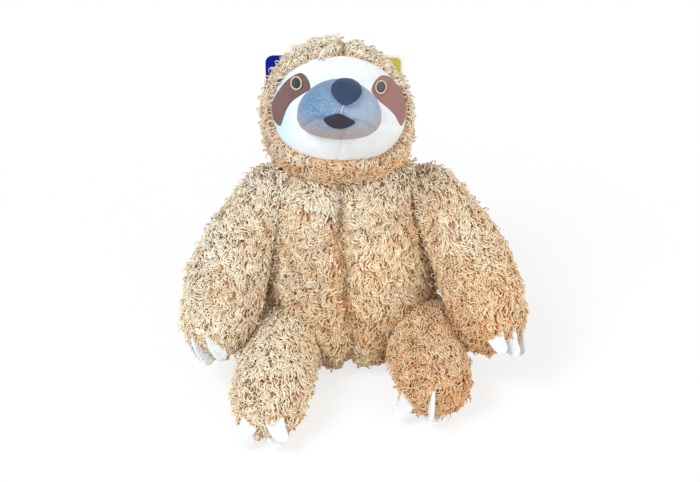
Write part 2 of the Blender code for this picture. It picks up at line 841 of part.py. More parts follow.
def build_head(joint, unplace):
    """Head fur, its stuffing and the white face panel let into the fur."""
    fur = make_object("head_skin", head_form(0.0, HEAD_SIDES), "fur", joint, unplace)
    cut(fur, make_object("head_cavity_cutter", head_form(FUR_THICKNESS, STUFFING_SIDES, CUT_OVERRUN)))
    place = face_frame() @ Matrix.Translation((0, PANEL_UP, 0))
    opening = smooth_outline(PANEL_OUTLINE_SHARES, PANEL_WIDTH, PANEL_TALL, PANEL_SIDES)
    cut(fur, make_object("face_opening_cutter", prism(opening, place, HEAD_DEPTH)))
    inside = head_form(FUR_THICKNESS + CLEARANCE, STUFFING_SIDES)
    wadding = make_object("head_stuffing", inside, "wadding", joint, unplace)
    panel = make_object("face_panel", head_form(FACE_RECESS, HEAD_SIDES), "face_plush", joint, unplace)
    room = 2 * CLEARANCE
    edge = smooth_outline(PANEL_OUTLINE_SHARES, PANEL_WIDTH - room, PANEL_TALL - room, PANEL_SIDES)
    cut(panel, make_object("face_panel_cutter", prism(edge, place, HEAD_DEPTH)), "INTERSECT")
    behind = head_form(FUR_THICKNESS, STUFFING_SIDES, CUT_OVERRUN)
    cut(panel, make_object("face_back_cutter", behind))
    return fur, wadding


def build_eye(side_name, side, shares, eye_out, joint, unplace, keep_off):
    """An eye patch, with the eye's cream ring and dark pupil sewn on it."""
    frame = face_frame()
    panel = bmesh_tree(head_form(FACE_RECESS, HEAD_SIDES))
    raised = bmesh_tree(head_form(FACE_RECESS - LAYER_GAP - PATCH_THICKNESS, HEAD_SIDES))
    place = frame @ Matrix.Translation((side * PATCH_OUT, PATCH_UP, 0)) @ Matrix.Diagonal((side, 1, 1, 1))
    outline = smooth_outline(shares, PATCH_WIDTH, PATCH_TALL, PATCH_SIDES)
    patch = applique(panel, place, outline, PATCH_THICKNESS)
    cut(make_object(f"eye_patch_{side_name}", patch, "suede", joint, unplace), keep_off)
    eye = frame @ Matrix.Translation((side * eye_out, EYE_UP, 0))
    eye = eye @ Matrix.Rotation(math.radians(-side * EYE_TILT_DEG), 4, "Z")
    room = 2 * CLEARANCE
    hole = oval(PUPIL_WIDTH + room, PUPIL_TALL + room, EYE_SIDES)
    ring = applique(raised, eye, oval(EYE_RING_WIDTH, EYE_RING_TALL, EYE_SIDES), THREAD_THICKNESS, hole)
    make_object(f"eye_ring_{side_name}", ring, "cream_thread", joint, unplace)
    pupil = applique(raised, eye, oval(PUPIL_WIDTH, PUPIL_TALL, EYE_SIDES), THREAD_THICKNESS)
    make_object(f"pupil_{side_name}", pupil, "navy_thread", joint, unplace)


def build_muzzle(joint, unplace, keep_off):
    """The stuffed muzzle on the face, with its nose and mouth."""
    frame = face_frame()
    cover = make_object("muzzle_cover", muzzle_form(frame, 0.0), "muzzle_velour", joint, unplace)
    cut(cover, make_object("muzzle_cavity_cutter", muzzle_form(frame, MUZZLE_THICKNESS)))
    cut(cover, keep_off)
    inside = muzzle_form(frame, MUZZLE_THICKNESS + CLEARANCE)
    cut(make_object("muzzle_stuffing", inside, "wadding", joint, unplace), keep_off)
    muzzle = bmesh_tree(muzzle_form(frame, 0.0))
    proud = make_object("muzzle_cutter", muzzle_form(frame, -CLEARANCE))
    nose_place = frame @ Matrix.Translation((NOSE_OUT, NOSE_UP, 0))
    outline = smooth_outline(NOSE_OUTLINE_SHARES, NOSE_WIDTH, NOSE_TALL, TRIM_SIDES)
    nose = applique(muzzle, nose_place, outline, NOSE_THICKNESS)
    cut(make_object("nose", nose, "nose_cloth", joint, unplace), proud)
    mouth_place = frame @ Matrix.Translation((0, MOUTH_UP, 0))
    outline = smooth_outline(MOUTH_OUTLINE_SHARES, MOUTH_WIDTH, MOUTH_TALL, TRIM_SIDES)
    mouth = applique(muzzle, mouth_place, outline, MOUTH_THICKNESS)
    cut(make_object("mouth_lining", mouth, "mouth_cloth", joint, unplace), proud)


def card_outline():
    """Corners of the card, which hangs from a point near its top edge."""
    half_wide = CARD_WIDTH / 2 - CARD_CORNER
    half_tall = CARD_TALL / 2 - CARD_CORNER
    middle = PIN_RADIUS + PIN_PLAY - CARD_HOLE_RADIUS + CARD_HOLE_DOWN - CARD_TALL / 2
    outline = []
    for number, (side, rise) in enumerate(((1, 1), (-1, 1), (-1, -1), (1, -1))):
        for step in range(CARD_CORNER_STEPS + 1):
            turn = math.pi / 2 * (number + step / CARD_CORNER_STEPS)
            corner = Vector((side * half_wide, middle + rise * half_tall))
            outline.append(corner + Vector((math.cos(turn), math.sin(turn))) * CARD_CORNER)
    return outline


def build_card(fur, wadding, neck, unplace):
    """The bare card that hangs behind the head, and the plastic pin that it hangs on."""
    share = CARD_RISE / HEAD_HEIGHT
    behind = NECK_CENTRE.lerp(CROWN_CENTRE, share)
    _, depth_share = read_shares(HEAD_SHARES, share)
    surface = behind.y + HEAD_DEPTH / 2 * depth_share
    hang_y = behind.y + HEAD_DEPTH / 2 + CARD_STAND_OFF
    hang_z = TORSO_HEIGHT + CARD_RISE - CARD_HOLE_DOWN + CARD_HOLE_RADIUS - PIN_RADIUS - PIN_PLAY
    hang = Vector((CROWN_X, hang_y, hang_z))
    swing = joint_empty("card_swing", unplace @ hang, neck)
    facing = Matrix.Rotation(math.pi / 2, 4, "X")
    sheet_place = facing @ Matrix.Translation((0, 0, -CARD_THICKNESS / 2))
    sheet = prism(card_outline(), sheet_place, CARD_THICKNESS)
    card = make_object("hang_card", sheet, "card", swing)
    hole = rod(CARD_HOLE_RADIUS, CARD_THICKNESS + CUT_OVERRUN, SMALL_SIDES)
    hole_place = Matrix.Translation((0, 0, PIN_RADIUS + PIN_PLAY - CARD_HOLE_RADIUS)) @ facing
    cut(card, make_object("card_hole_cutter", hole, parent=swing, place=hole_place))
    inner = surface - FUR_THICKNESS - PIN_BAR_INSIDE
    outer = hang_y + CARD_THICKNESS / 2 + PIN_PADDLE_GAP + PIN_PADDLE_THICKNESS / 2
    middle = Vector((hang.x, (inner + outer) / 2, hang.z))
    shaft = rod(PIN_RADIUS, outer - inner, SMALL_SIDES)
    pin = make_object("card_pin", shaft, "nylon", neck, unplace @ Matrix.Translation(middle) @ facing)
    crossways = Matrix.Rotation(math.pi / 2, 4, "Y")
    bar_place = Matrix.Translation((hang.x, inner, hang.z)) @ crossways
    bar = rod(PIN_RADIUS, PIN_BAR_LENGTH, SMALL_SIDES)
    cut(pin, make_object("pin_bar_joiner", bar, place=bar_place), "UNION")
    paddle = rod(PIN_PADDLE_RADIUS, PIN_PADDLE_THICKNESS, SMALL_SIDES)
    paddle_place = Matrix.Translation((hang.x, outer, hang.z)) @ facing
    cut(pin, make_object("pin_paddle_joiner", paddle, place=paddle_place), "UNION")
    tunnel = rod(PIN_RADIUS + LAYER_GAP, outer - inner, SMALL_SIDES)
    cut(fur, make_object("pin_tunnel_cutter", tunnel, place=Matrix.Translation(middle) @ facing))
    reach = Vector((PIN_BAR_LENGTH / 2 + LAYER_GAP, PIN_RADIUS + LAYER_GAP, PIN_RADIUS + LAYER_GAP))
    low = Vector((hang.x, inner, hang.z)) - reach
    high = Vector((hang.x, hang_y, hang.z)) + reach
    cut(wadding, make_object("pin_slot_cutter", block(low, high)))


def main():
    """Builds the whole toy."""
    clear_scene()
    floor = floor_block()
    cutters = []
    centre, half_wide, _ = torso_section(TORSO_HEIGHT - SHOULDER_DROP)
    for name, side, forward, spread, claws in (
        ("left_arm", 1, LEFT_ARM_FORWARD_DEG, LEFT_ARM_SPREAD_DEG, LEFT_ARM_CLAWS),
        ("right_arm", -1, RIGHT_ARM_FORWARD_DEG, RIGHT_ARM_SPREAD_DEG, RIGHT_ARM_CLAWS),
    ):
        place = centre + Vector((side * (half_wide + SHOULDER_OUT) + SHOULDER_LEAN, SHOULDER_BACK, 0))
        joint = joint_empty(f"{name}_shoulder", place)
        limb = Limb(name, joint, ARM_SHARES, ARM_RADIUS, arm_spine(forward, spread, side), False)
        build_limb(limb)
        build_claws(limb, claws, floor)
        lifting = Vector((0, -side, 0))
        room = turning_room(limb, ARM_LIFT_REACH_SHARE, ARM_LIFT_DEG, ARM_LIFT_STEPS, lifting)
        cutters.append(make_object(f"{name}_lift_cutter", room, parent=joint))
        cutters.append(make_object(f"{name}_sweep_cutter", limb_sweep(limb), parent=joint))
    front = SEAT_CENTRE_Y - TORSO_DEPTH / 2
    root = LEG_RADIUS * LEG_SHARES[0][1]
    for name, side, behind, splay, claws in (
        ("left_leg", 1, LEFT_HIP_BEHIND_FRONT, LEFT_LEG_SPLAY_DEG, LEFT_LEG_CLAWS),
        ("right_leg", -1, RIGHT_HIP_BEHIND_FRONT, RIGHT_LEG_SPLAY_DEG, RIGHT_LEG_CLAWS),
    ):
        out = SEAT_CENTRE_X + side * (TORSO_WIDTH / 2 - HIP_INSET)
        joint = joint_empty(f"{name}_hip", Vector((out, front + behind, root - FLOOR_TRIM)))
        limb = Limb(name, joint, LEG_SHARES, LEG_RADIUS, leg_spine(splay, side), True)
        cut(build_limb(limb), floor)
        build_claws(limb, claws, floor)
        room = turning_room(limb, 1.0, LEG_DROP_DEG, LEG_DROP_STEPS, Vector((1, 0, 0)))
        cutters.append(make_object(f"{name}_drop_cutter", room, parent=joint))
    build_torso(cutters)
    pivot = Vector((NECK_CENTRE_X, NECK_CENTRE_Y, TORSO_HEIGHT))
    neck = joint_empty("neck_turn", pivot)
    unplace = Matrix.Translation(-pivot)
    fur, wadding = build_head(neck, unplace)
    keep_off = make_object("face_cutter", head_form(FACE_RECESS - CLEARANCE, HEAD_SIDES))
    build_eye("left", 1, LEFT_PATCH_SHARES, LEFT_EYE_OUT, neck, unplace, keep_off)
    build_eye("right", -1, RIGHT_PATCH_SHARES, RIGHT_EYE_OUT, neck, unplace, keep_off)
    build_muzzle(neck, unplace, keep_off)
    build_card(fur, wadding, neck, unplace)


main()
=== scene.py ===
"""Looks of the seated plush sloth: curly fur on stuffed cloth, a velour face, felt claws and a blank card."""

import json
import logging
import math
from dataclasses import dataclass, field
from enum import Enum, IntEnum

import bmesh
import bpy
import numpy as np
from mathutils import Matrix, Vector
from mathutils.bvhtree import BVHTree


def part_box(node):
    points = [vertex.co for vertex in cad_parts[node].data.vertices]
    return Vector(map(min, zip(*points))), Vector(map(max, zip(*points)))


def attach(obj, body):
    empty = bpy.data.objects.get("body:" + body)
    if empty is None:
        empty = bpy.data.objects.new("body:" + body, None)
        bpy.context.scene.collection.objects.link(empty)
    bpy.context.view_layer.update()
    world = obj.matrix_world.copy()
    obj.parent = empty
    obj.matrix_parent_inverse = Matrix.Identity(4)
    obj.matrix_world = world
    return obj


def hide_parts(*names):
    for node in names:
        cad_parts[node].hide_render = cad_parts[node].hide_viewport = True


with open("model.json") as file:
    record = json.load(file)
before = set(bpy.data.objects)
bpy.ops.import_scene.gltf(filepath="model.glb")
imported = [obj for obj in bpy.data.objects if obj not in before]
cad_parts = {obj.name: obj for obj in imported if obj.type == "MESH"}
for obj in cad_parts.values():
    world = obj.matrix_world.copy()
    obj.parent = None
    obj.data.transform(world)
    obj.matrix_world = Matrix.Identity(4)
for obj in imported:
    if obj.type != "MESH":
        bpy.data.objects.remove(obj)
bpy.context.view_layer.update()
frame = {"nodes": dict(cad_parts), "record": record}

LOG = logging.getLogger("plush_sloth")
TINY = 1e-9
MM_PER_M = 1000

# The map of the pile, and how many warmths and tones its strips hold.
FUR_UV = "OFBake"
WARMTHS = 8
TONES = 6
# The sides of a lock.
SIDES = 3
# A smooth random field: its waves, how their pace spreads, and what brings their sum to about 1.
WAVES = 6
WAVE_SPREAD = (0.6, 1.5)
WAVE_SUM = 3.2
# How far one round of smoothing moves a vertex, as a share.
SOFTENING = 0.5
# Which way the pile is combed.
DOWN = Vector((0, 0, -1))
ARM_FLOW = Vector((0, -0.5, -0.85))
LEG_FLOW = Vector((0, -0.8, -0.6))
# The limbs, the spacing of their cloth, and the seed of the first fur part's pile.
LIMBS = ("left_arm", "right_arm", "left_leg", "right_leg")
LIMB_VOXEL = 0.0038
FIRST_SEED = 11

Triple = tuple[float, float, float]
Colour = Triple
Band = tuple[int, float, float]


class Axis(IntEnum):
    """The columns of a row of places."""

    X = 0
    Y = 1
    Z = 2


class Chance(IntEnum):
    """The seeds of the smooth random fields. The fuzz is on the claws only, so it shares a seed."""

    SWIRL_X = 1
    SWIRL_Y = 2
    SWIRL_Z = 3
    TURN = 4
    DRIFT = 5
    CLUMP = 6
    CURL = 7
    TONE = 8
    WARMTH = 9
    FUZZ = 9


class Value:
    """A socket of a material's node tree, on which arithmetic adds Math nodes."""

    def __init__(self, graph: "Graph", socket: bpy.types.NodeSocket) -> None:
        """Keeps the socket and the graph that it belongs to."""
        self.graph = graph
        self.socket = socket

    def __add__(self, other: "Value | float") -> "Value":
        """Adds."""
        return self.graph.math("ADD", self, other)

    __radd__ = __add__

    def __mul__(self, other: "Value | float") -> "Value":
        """Multiplies."""
        return self.graph.math("MULTIPLY", self, other)

    __rmul__ = __mul__

    def __sub__(self, other: "Value | float") -> "Value":
        """Subtracts."""
        return self.graph.math("SUBTRACT", self, other)

    def __rsub__(self, other: "Value | float") -> "Value":
        """Is subtracted from a number."""
        return self.graph.math("SUBTRACT", other, self)

    def __truediv__(self, other: "Value | float") -> "Value":
        """Divides."""
        return self.graph.math("DIVIDE", self, other)

    def __abs__(self) -> "Value":
        """Drops the sign."""
        return self.graph.math("ABSOLUTE", self)

    def __gt__(self, other: "Value | float") -> "Value":
        """Is 1 where this is the greater, and 0 elsewhere."""
        return self.graph.math("GREATER_THAN", self, other)


class Graph:
    """The node tree of one material, or of the world."""

    def __init__(self, name: str, world: bpy.types.World | None = None) -> None:
        """Opens the world's tree, or else makes a material that holds only its shader and its output.

        Args:
            name: The material's name.
            world: The world, where its tree is the one to open.
        """
        self.material = world or bpy.data.materials.new(name)
        self.material.use_nodes = True
        self.tree = self.material.node_tree
        self.shader = self.tree.nodes.get("Principled BSDF")

    def node(self, kind: str, settings: dict, inputs: dict, output: int | str = 0) -> Value:
        """Adds any node.

        Args:
            kind: The node's type.
            settings: Its settings, set first. A ramp's stops go under "stops".
            inputs: Values or links of its sockets, by name or number.
            output: The socket that is returned.

        Returns:
            One of the node's outputs.
        """
        made = self.tree.nodes.new(kind)
        for key, value in settings.items():
            if key == "stops":
                elements = made.color_ramp.elements
                while len(elements) < len(value):
                    elements.new(1.0)
                for element, (position, colour) in zip(elements, value):
                    element.position = position
                    element.color = (*colour, 1.0)
            else:
                setattr(made, key, value)
        for key, value in inputs.items():
            self.put(made.inputs[key], value)
        return Value(self, made.outputs[output])

    def math(self, operation: str, first: "Value | float", second: "Value | float" = 0.0) -> Value:
        """Adds one Math node.

        Args:
            operation: The Math node's operation.
            first: Its first number.
            second: Its second number, where the operation has one.

        Returns:
            The node's result.
        """
        return self.node("ShaderNodeMath", {"operation": operation}, {0: first, 1: second})

    def put(self, socket: bpy.types.NodeSocket, value: object) -> None:
        """Links a value to a socket, or sets a constant on it.

        Args:
            socket: The socket.
            value: A Value, a number, or a colour of three numbers.
        """
        if isinstance(value, Value):
            self.tree.links.new(value.socket, socket)
        elif isinstance(value, tuple) and socket.type == "RGBA":
            socket.default_value = (*value, 1.0)
        else:
            socket.default_value = value

    def dress(self, **inputs: object) -> bpy.types.Material:
        """Sets the shader's sockets.

        Args:
            inputs: A value for each socket, named with _ for a space.

        Returns:
            The material.
        """
        for key, value in inputs.items():
            self.put(self.shader.inputs[key.replace("_", " ")], value)
        return self.material

    def mix(self, factor: "Value | float", first: object, second: object) -> Value:
        """Mixes two colours."""
        return self.node("ShaderNodeMix", {"data_type": "RGBA"}, {0: factor, 6: first, 7: second}, 2)

    def ramp(self, factor: Value, *stops: tuple[float, Colour]) -> Value:
        """Turns a number into a colour by its stops."""
        return self.node("ShaderNodeValToRGB", {"stops": stops}, {0: factor})

    def place(self) -> Value:
        """Returns the place on the piece, in metres."""
        return self.node("ShaderNodeTexCoord", {}, {}, "Object")

    def axis(self, name: str) -> Value:
        """Returns one coordinate of the place on the piece."""
        return self.node("ShaderNodeSeparateXYZ", {}, {0: self.place()}, name)

    def noise(self, scale: float, detail: float, stretch: Triple = (1.0, 1.0, 1.0)) -> Value:
        """Returns noise over the piece.

        Args:
            scale: Its waves per metre.
            detail: Its octaves.
            stretch: How much faster it runs along each axis.

        Returns:
            A number about a half.
        """
        where = self.node("ShaderNodeVectorMath", {"operation": "MULTIPLY"}, {0: self.place(), 1: stretch})
        return self.node("ShaderNodeTexNoise", {}, {"Vector": where, "Scale": scale, "Detail": detail})

    def smooth(self, value: Value, low: float, high: float) -> Value:
        """Runs smoothly from 0 at low to 1 at high."""
        inputs = {"Value": value, "From Min": low, "From Max": high}
        return self.node("ShaderNodeMapRange", {"interpolation_type": "SMOOTHSTEP"}, inputs)

    def bump(self, height: Value, depth: float, strength: float = 1.0) -> Value:
        """Returns the normal of a surface raised by a height, up to depth in metres."""
        relief = {"Height": height, "Distance": depth, "Strength": strength}
        return self.node("ShaderNodeBump", {}, relief, "Normal")


class Weave(Enum):
    """How a cloth's surface runs: each layer's waves per metre, octaves, stretch and share."""

    VELOUR = ((1500.0, 4.0, (1.0, 1.0, 1.0), 0.6), (420.0, 2.0, (1.0, 1.0, 1.0), 0.4))
    FELT = ((900.0, 3.0, (0.35, 1.0, 1.0), 0.5), (700.0, 4.0, (1.0, 1.0, 0.3), 0.5))
    SATIN = ((1800.0, 2.0, (1.0, 1.0, 0.25), 1.0),)
    STITCH = ()


@dataclass(frozen=True)
class ClothFinish:
    """A cloth with its grain, its mottling, painted shade in its weave's hollows and worn places. A grain is
    waves per metre and octaves.
    """

    name: str
    colour: Colour
    shade: Colour
    weave: Weave
    roughness: float = 0.85
    sheen: float = 0.3
    sheen_spread: float = 0.5
    gloss: float = 0.25
    depth: float = 0.0003
    fleck: Colour | None = None
    # Tints by place on the piece: an axis, where the tint starts and ends, and its colour. They paint light
    # and shade, and on the muzzle also some of the cloth's own colour.
    painted_light_and_colour_tints: tuple[tuple[str, float, float, Colour], ...] = ()
    mottle_grain: tuple[float, float] = (90.0, 3.0)
    mottle_range: tuple[float, float] = (0.35, 0.70)
    mottle_share: float = 0.55
    # Painted shade: how far the hollows of the weave are darkened towards the shade colour.
    valley_shade_share: float = 0.35
    fleck_grain: tuple[float, float] = (900.0, 3.0)
    fleck_range: tuple[float, float] = (0.46, 0.74)
    fleck_share: float = 0.6
    worn_grain: tuple[float, float] = (35.0, 2.0)
    worn_gloss: float = 0.12
    nap_rough: float = 0.06
    stitch_waves: float = 420.0
    stitch_wander: float = 1.5

    def height(self, graph: Graph) -> Value:
        """Adds the height of the weave, from 0 to 1.

        Args:
            graph: The tree that it is added to.

        Returns:
            The height.
        """
        layers = [graph.noise(*grain) * share for *grain, share in self.weave.value]
        if layers:
            return sum(layers[1:], layers[0])
        bands = {
            "Vector": graph.place(), "Scale": self.stitch_waves, "Distortion": self.stitch_wander,
            "Detail": 1.0,
        }
        return graph.node("ShaderNodeTexWave", {"bands_direction": "DIAGONAL"}, bands, "Fac")

    def material(self) -> bpy.types.Material:
        """Makes the material.

        Returns:
            The material, with colour, roughness and bump that vary over the cloth.
        """
        graph = Graph(self.name)
        height = self.height(graph)
        mottle = graph.smooth(graph.noise(*self.mottle_grain), *self.mottle_range)
        # Random mottling of the cloth, plus painted shade in the hollows of the weave.
        mottle_and_valley_shade = mottle * self.mottle_share + (1.0 - height) * self.valley_shade_share
        colour = graph.mix(mottle_and_valley_shade, self.colour, self.shade)
        # Tints by place: painted light and shade, and some of the cloth's own colour.
        for name, start, end, tint in self.painted_light_and_colour_tints:
            colour = graph.mix(graph.smooth(graph.axis(name), start, end), colour, tint)
        if self.fleck is not None:
            flecked = graph.smooth(graph.noise(*self.fleck_grain), *self.fleck_range)
            colour = graph.mix(flecked * self.fleck_share, colour, self.fleck)
        rough = self.roughness - self.worn_gloss * graph.noise(*self.worn_grain) + self.nap_rough * height
        graph.dress(Sheen_Weight=self.sheen, Sheen_Roughness=self.sheen_spread, Specular_IOR_Level=self.gloss)
        return graph.dress(Base_Color=colour, Roughness=rough, Normal=graph.bump(height, self.depth))


FUR_BACKING = ClothFinish("fur_backing", (0.94, 0.67, 0.39), (0.88, 0.56, 0.29), Weave.FELT)
# The face's velour: painted shade, greyer towards the bottom of the panel under the muzzle, and painted cool
# light, pale cyan towards the toy's right edge.
FACE_VELOUR = ClothFinish(
    "face_velour", (0.85, 0.88, 0.89), (0.68, 0.76, 0.80), Weave.VELOUR, fleck=(0.76, 0.80, 0.84),
    painted_light_and_colour_tints=(("Z", 0.256, 0.226, (0.62, 0.61, 0.59)), ("X", -0.040, -0.064, (0.50, 0.73, 0.82))),
)
# The eye patches' suede: its tint is painted light, paler towards the toy's left.
PATCH_SUEDE = ClothFinish(
    "patch_suede", (0.175, 0.097, 0.092), (0.135, 0.075, 0.07), Weave.VELOUR, sheen=0.15,
    fleck=(0.24, 0.145, 0.13), painted_light_and_colour_tints=(("X", -0.03, 0.035, (0.33, 0.165, 0.148)),),
)
# The muzzle's velour: its tints are partly its own colour and partly painted light, paler towards the toy's
# left and warmer grey low down.
MUZZLE_VELOUR = ClothFinish(
    "muzzle_velour", (0.078, 0.182, 0.342), (0.14, 0.25, 0.40), Weave.VELOUR, sheen=0.15,
    fleck=(0.50, 0.60, 0.72),
    painted_light_and_colour_tints=(("X", -0.032, 0.030, (0.31, 0.41, 0.56)), ("Z", 0.290, 0.262, (0.345, 0.295, 0.29))),
)
NOSE_SATIN = ClothFinish(
    "nose_satin", (0.024, 0.047, 0.112), (0.015, 0.032, 0.08), Weave.SATIN, roughness=0.5, sheen=0.05,
)
MOUTH_FELT = ClothFinish("mouth_felt", (0.035, 0.035, 0.052), (0.02, 0.02, 0.03), Weave.FELT, sheen=0.05)
CREAM_THREAD = ClothFinish(
    "cream_thread", (0.72, 0.58, 0.42), (0.58, 0.44, 0.30), Weave.STITCH, roughness=0.6
)
PALE_THREAD = ClothFinish("pale_thread", (0.76, 0.79, 0.86), (0.60, 0.62, 0.70), Weave.STITCH, roughness=0.6)
NAVY_THREAD = ClothFinish(
    "navy_thread", (0.012, 0.016, 0.04), (0.03, 0.035, 0.06), Weave.STITCH, roughness=0.4
)
CLAW_FELT = ClothFinish("claw_felt", (0.82, 0.86, 0.89), (0.66, 0.71, 0.77), Weave.FELT)


@dataclass(frozen=True)
class FurFinish:
    """Curly pile, warm at its roots and pale at its tips, whose locks differ in tone."""

    name: str = "curly_fur"
    stops: tuple[float, float, float] = (0.02, 0.36, 0.80)
    warm: tuple[Colour, Colour, Colour] = ((0.74, 0.34, 0.115), (0.76, 0.43, 0.19), (0.95, 0.79, 0.535))
    cool: tuple[Colour, Colour, Colour] = ((0.80, 0.55, 0.35), (0.69, 0.54, 0.38), (0.94, 0.90, 0.76))
    tone_reach: float = 0.45
    fibre_reach: float = 0.2
    fibre_grain: tuple[float, float] = (900.0, 2.0)
    fibre_depth: float = 0.0002
    roughness: float = 0.75
    fibre_gloss: float = 0.2
    sheen: float = 0.2
    sheen_spread: float = 0.4
    gloss: float = 0.25

    def material(self) -> bpy.types.Material:
        """Makes the material from each lock's tone across its map and its length up it.

        Returns:
            The material.
        """
        graph = Graph(self.name)
        laid = graph.node("ShaderNodeUVMap", {"uv_map": FUR_UV}, {})
        strip = graph.node("ShaderNodeSeparateXYZ", {}, {0: laid}, "X") * (WARMTHS * TONES)
        along = graph.node("ShaderNodeSeparateXYZ", {}, {0: laid}, "Y")
        # Each lock's warmth and tone, which hold painted light and shade as well as the dye.
        warmth = graph.math("FLOOR", strip / TONES) / (WARMTHS - 1)
        tone = graph.math("FLOOR", graph.math("MODULO", strip, TONES)) / (TONES - 1)
        fibres = graph.noise(*self.fibre_grain)
        reach = along + (tone - 0.5) * self.tone_reach + (fibres - 0.5) * self.fibre_reach
        warm, cool = (graph.ramp(reach, *zip(self.stops, colours)) for colours in (self.warm, self.cool))
        rough = self.roughness - self.fibre_gloss * fibres
        graph.dress(Sheen_Weight=self.sheen, Sheen_Roughness=self.sheen_spread, Specular_IOR_Level=self.gloss)
        graph.dress(Base_Color=graph.mix(warmth, cool, warm), Roughness=rough)
        return graph.dress(Normal=graph.bump(fibres, self.fibre_depth))


@dataclass(frozen=True)
class CardFinish:
    """Coated card, dark blue to one side and yellow to the other, with a white rim and faint scuffs."""

    name: str
    low: Vector
    high: Vector
    blue: Colour = (0.002, 0.011, 0.33)
    yellow: Colour = (0.56, 0.50, 0.10)
    white: Colour = (0.85, 0.85, 0.83)
    rim: float = 0.0022
    corner: float = 0.007
    scuff: Colour = (0.6, 0.6, 0.62)
    scuff_grain: tuple[float, float] = (160.0, 5.0)
    scuff_range: tuple[float, float] = (0.62, 0.72)
    scuff_share: float = 0.05
    scuff_rough: float = 0.3
    roughness: float = 0.5
    gloss: float = 0.15
    paper_grain: tuple[float, float] = (600.0, 3.0)
    paper_depth: float = 0.00004

    def material(self) -> bpy.types.Material:
        """Makes the material.

        Returns:
            The material, laid out between the card's corners.
        """
        graph = Graph(self.name)
        across, up = graph.axis("X"), graph.axis("Z")
        middle, half = (self.low + self.high) / 2, (self.high - self.low) / 2
        over_x = graph.math("MAXIMUM", self.corner - (half.x - abs(across - middle.x)), 0.0)
        over_z = graph.math("MAXIMUM", self.corner - (half.z - abs(up - middle.z)), 0.0)
        edge = self.corner - graph.math("SQRT", over_x * over_x + over_z * over_z)
        split = across > middle.x
        colour = graph.mix(split, self.blue, self.yellow)
        colour = graph.mix((self.rim - edge > 0.0) * split, colour, self.white)
        scuffed = graph.smooth(graph.noise(*self.scuff_grain), *self.scuff_range)
        colour = graph.mix(scuffed * self.scuff_share, colour, self.scuff)
        graph.dress(Specular_IOR_Level=self.gloss, Base_Color=colour)
        graph.dress(Roughness=self.roughness + self.scuff_rough * scuffed)
        return graph.dress(Normal=graph.bump(graph.noise(*self.paper_grain), self.paper_depth))


@dataclass(frozen=True)
class NylonFinish:
    """Cloudy moulded nylon."""

    name: str = "nylon"
    clear: Colour = (0.82, 0.84, 0.86)
    cloudy: Colour = (0.68, 0.70, 0.73)
    cloud_grain: tuple[float, float] = (500.0, 3.0)
    depth: float = 0.00003
    roughness: float = 0.25
    cloud_rough: float = 0.2

    def material(self) -> bpy.types.Material:
        """Makes the material.

        Returns:
            The material.
        """
        graph = Graph(self.name)
        cloud = graph.noise(*self.cloud_grain)
        graph.dress(Base_Color=graph.mix(cloud, self.clear, self.cloudy))
        rough = self.roughness + self.cloud_rough * cloud
        return graph.dress(Roughness=rough, Normal=graph.bump(cloud, self.depth))


def rows_of(items: bpy.types.bpy_prop_collection, name: str) -> np.ndarray:
    """Reads one vector of every item.

    Args:
        items: The items, such as a mesh's vertices.
        name: The vector's name.

    Returns:
        The vectors as rows of an array.
    """
    flat = np.empty(len(items) * 3, np.float32)
    items.foreach_get(name, flat)
    return flat.reshape(-1, 3).astype(float)


def vertices_of(obj: bpy.types.Object) -> np.ndarray:
    """Returns an object's vertices as rows of an array."""
    return rows_of(obj.data.vertices, "co")


def normals_of(obj: bpy.types.Object) -> np.ndarray:
    """Returns the normals at an object's vertices as rows of an array."""
    return rows_of(obj.data.vertex_normals, "vector")


def set_vertices(obj: bpy.types.Object, places: np.ndarray) -> None:
    """Writes an object's vertices from the rows of an array."""
    obj.data.vertices.foreach_set("co", places.astype(np.float32).ravel())
    obj.data.update()


def link(name: str, mesh: bpy.types.Mesh) -> bpy.types.Object:
    """Puts a smooth-shaded mesh into the scene.

    Args:
        name: The new object's name.
        mesh: The mesh.

    Returns:
        The object.
    """
    mesh.shade_smooth()
    obj = bpy.data.objects.new(name, mesh)
    bpy.context.scene.collection.objects.link(obj)
    return obj


def baked(obj: bpy.types.Object) -> None:
    """Applies an object's modifiers to its mesh.

    Args:
        obj: The object, which is changed.
    """
    graph = bpy.context.evaluated_depsgraph_get()
    mesh = bpy.data.meshes.new_from_object(obj.evaluated_get(graph))
    obj.modifiers.clear()
    old = obj.data
    obj.data = mesh
    bpy.data.meshes.remove(old)
    mesh.shade_smooth()


def softened(name: str, nodes: tuple[str, ...], voxel: float, rounds: int) -> bpy.types.Object:
    """Makes one soft closed surface round some pieces of the fixed frame.

    Args:
        name: The new piece's name.
        nodes: The pieces that it follows.
        voxel: The spacing of its surface in metres.
        rounds: How many times it is smoothed.

    Returns:
        The new piece.
    """
    bm = bmesh.new()
    for node in nodes:
        bm.from_mesh(frame["nodes"][node].data)
    mesh = bpy.data.meshes.new(name)
    bm.to_mesh(mesh)
    bm.free()
    obj = link(name, mesh)
    remesh = obj.modifiers.new("even", "REMESH")
    remesh.mode = "VOXEL"
    remesh.voxel_size = voxel
    smooth = obj.modifiers.new("soft", "SMOOTH")
    smooth.factor = SOFTENING
    smooth.iterations = rounds
    baked(obj)
    return obj


def tree_of(obj: bpy.types.Object) -> BVHTree:
    """Returns a search tree of an object's mesh."""
    return BVHTree.FromObject(obj, bpy.context.evaluated_depsgraph_get())


def finish_piece(obj: bpy.types.Object, body: str, material: bpy.types.Material) -> None:
    """Dresses a piece and lets it ride on its body.

    Args:
        obj: The piece.
        body: The body that it rides on.
        material: Its material.
    """
    obj.data.materials.clear()
    obj.data.materials.append(material)
    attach(obj, body)
    LOG.info("%s: %d faces, rides on %s", obj.name, len(obj.data.polygons), body)


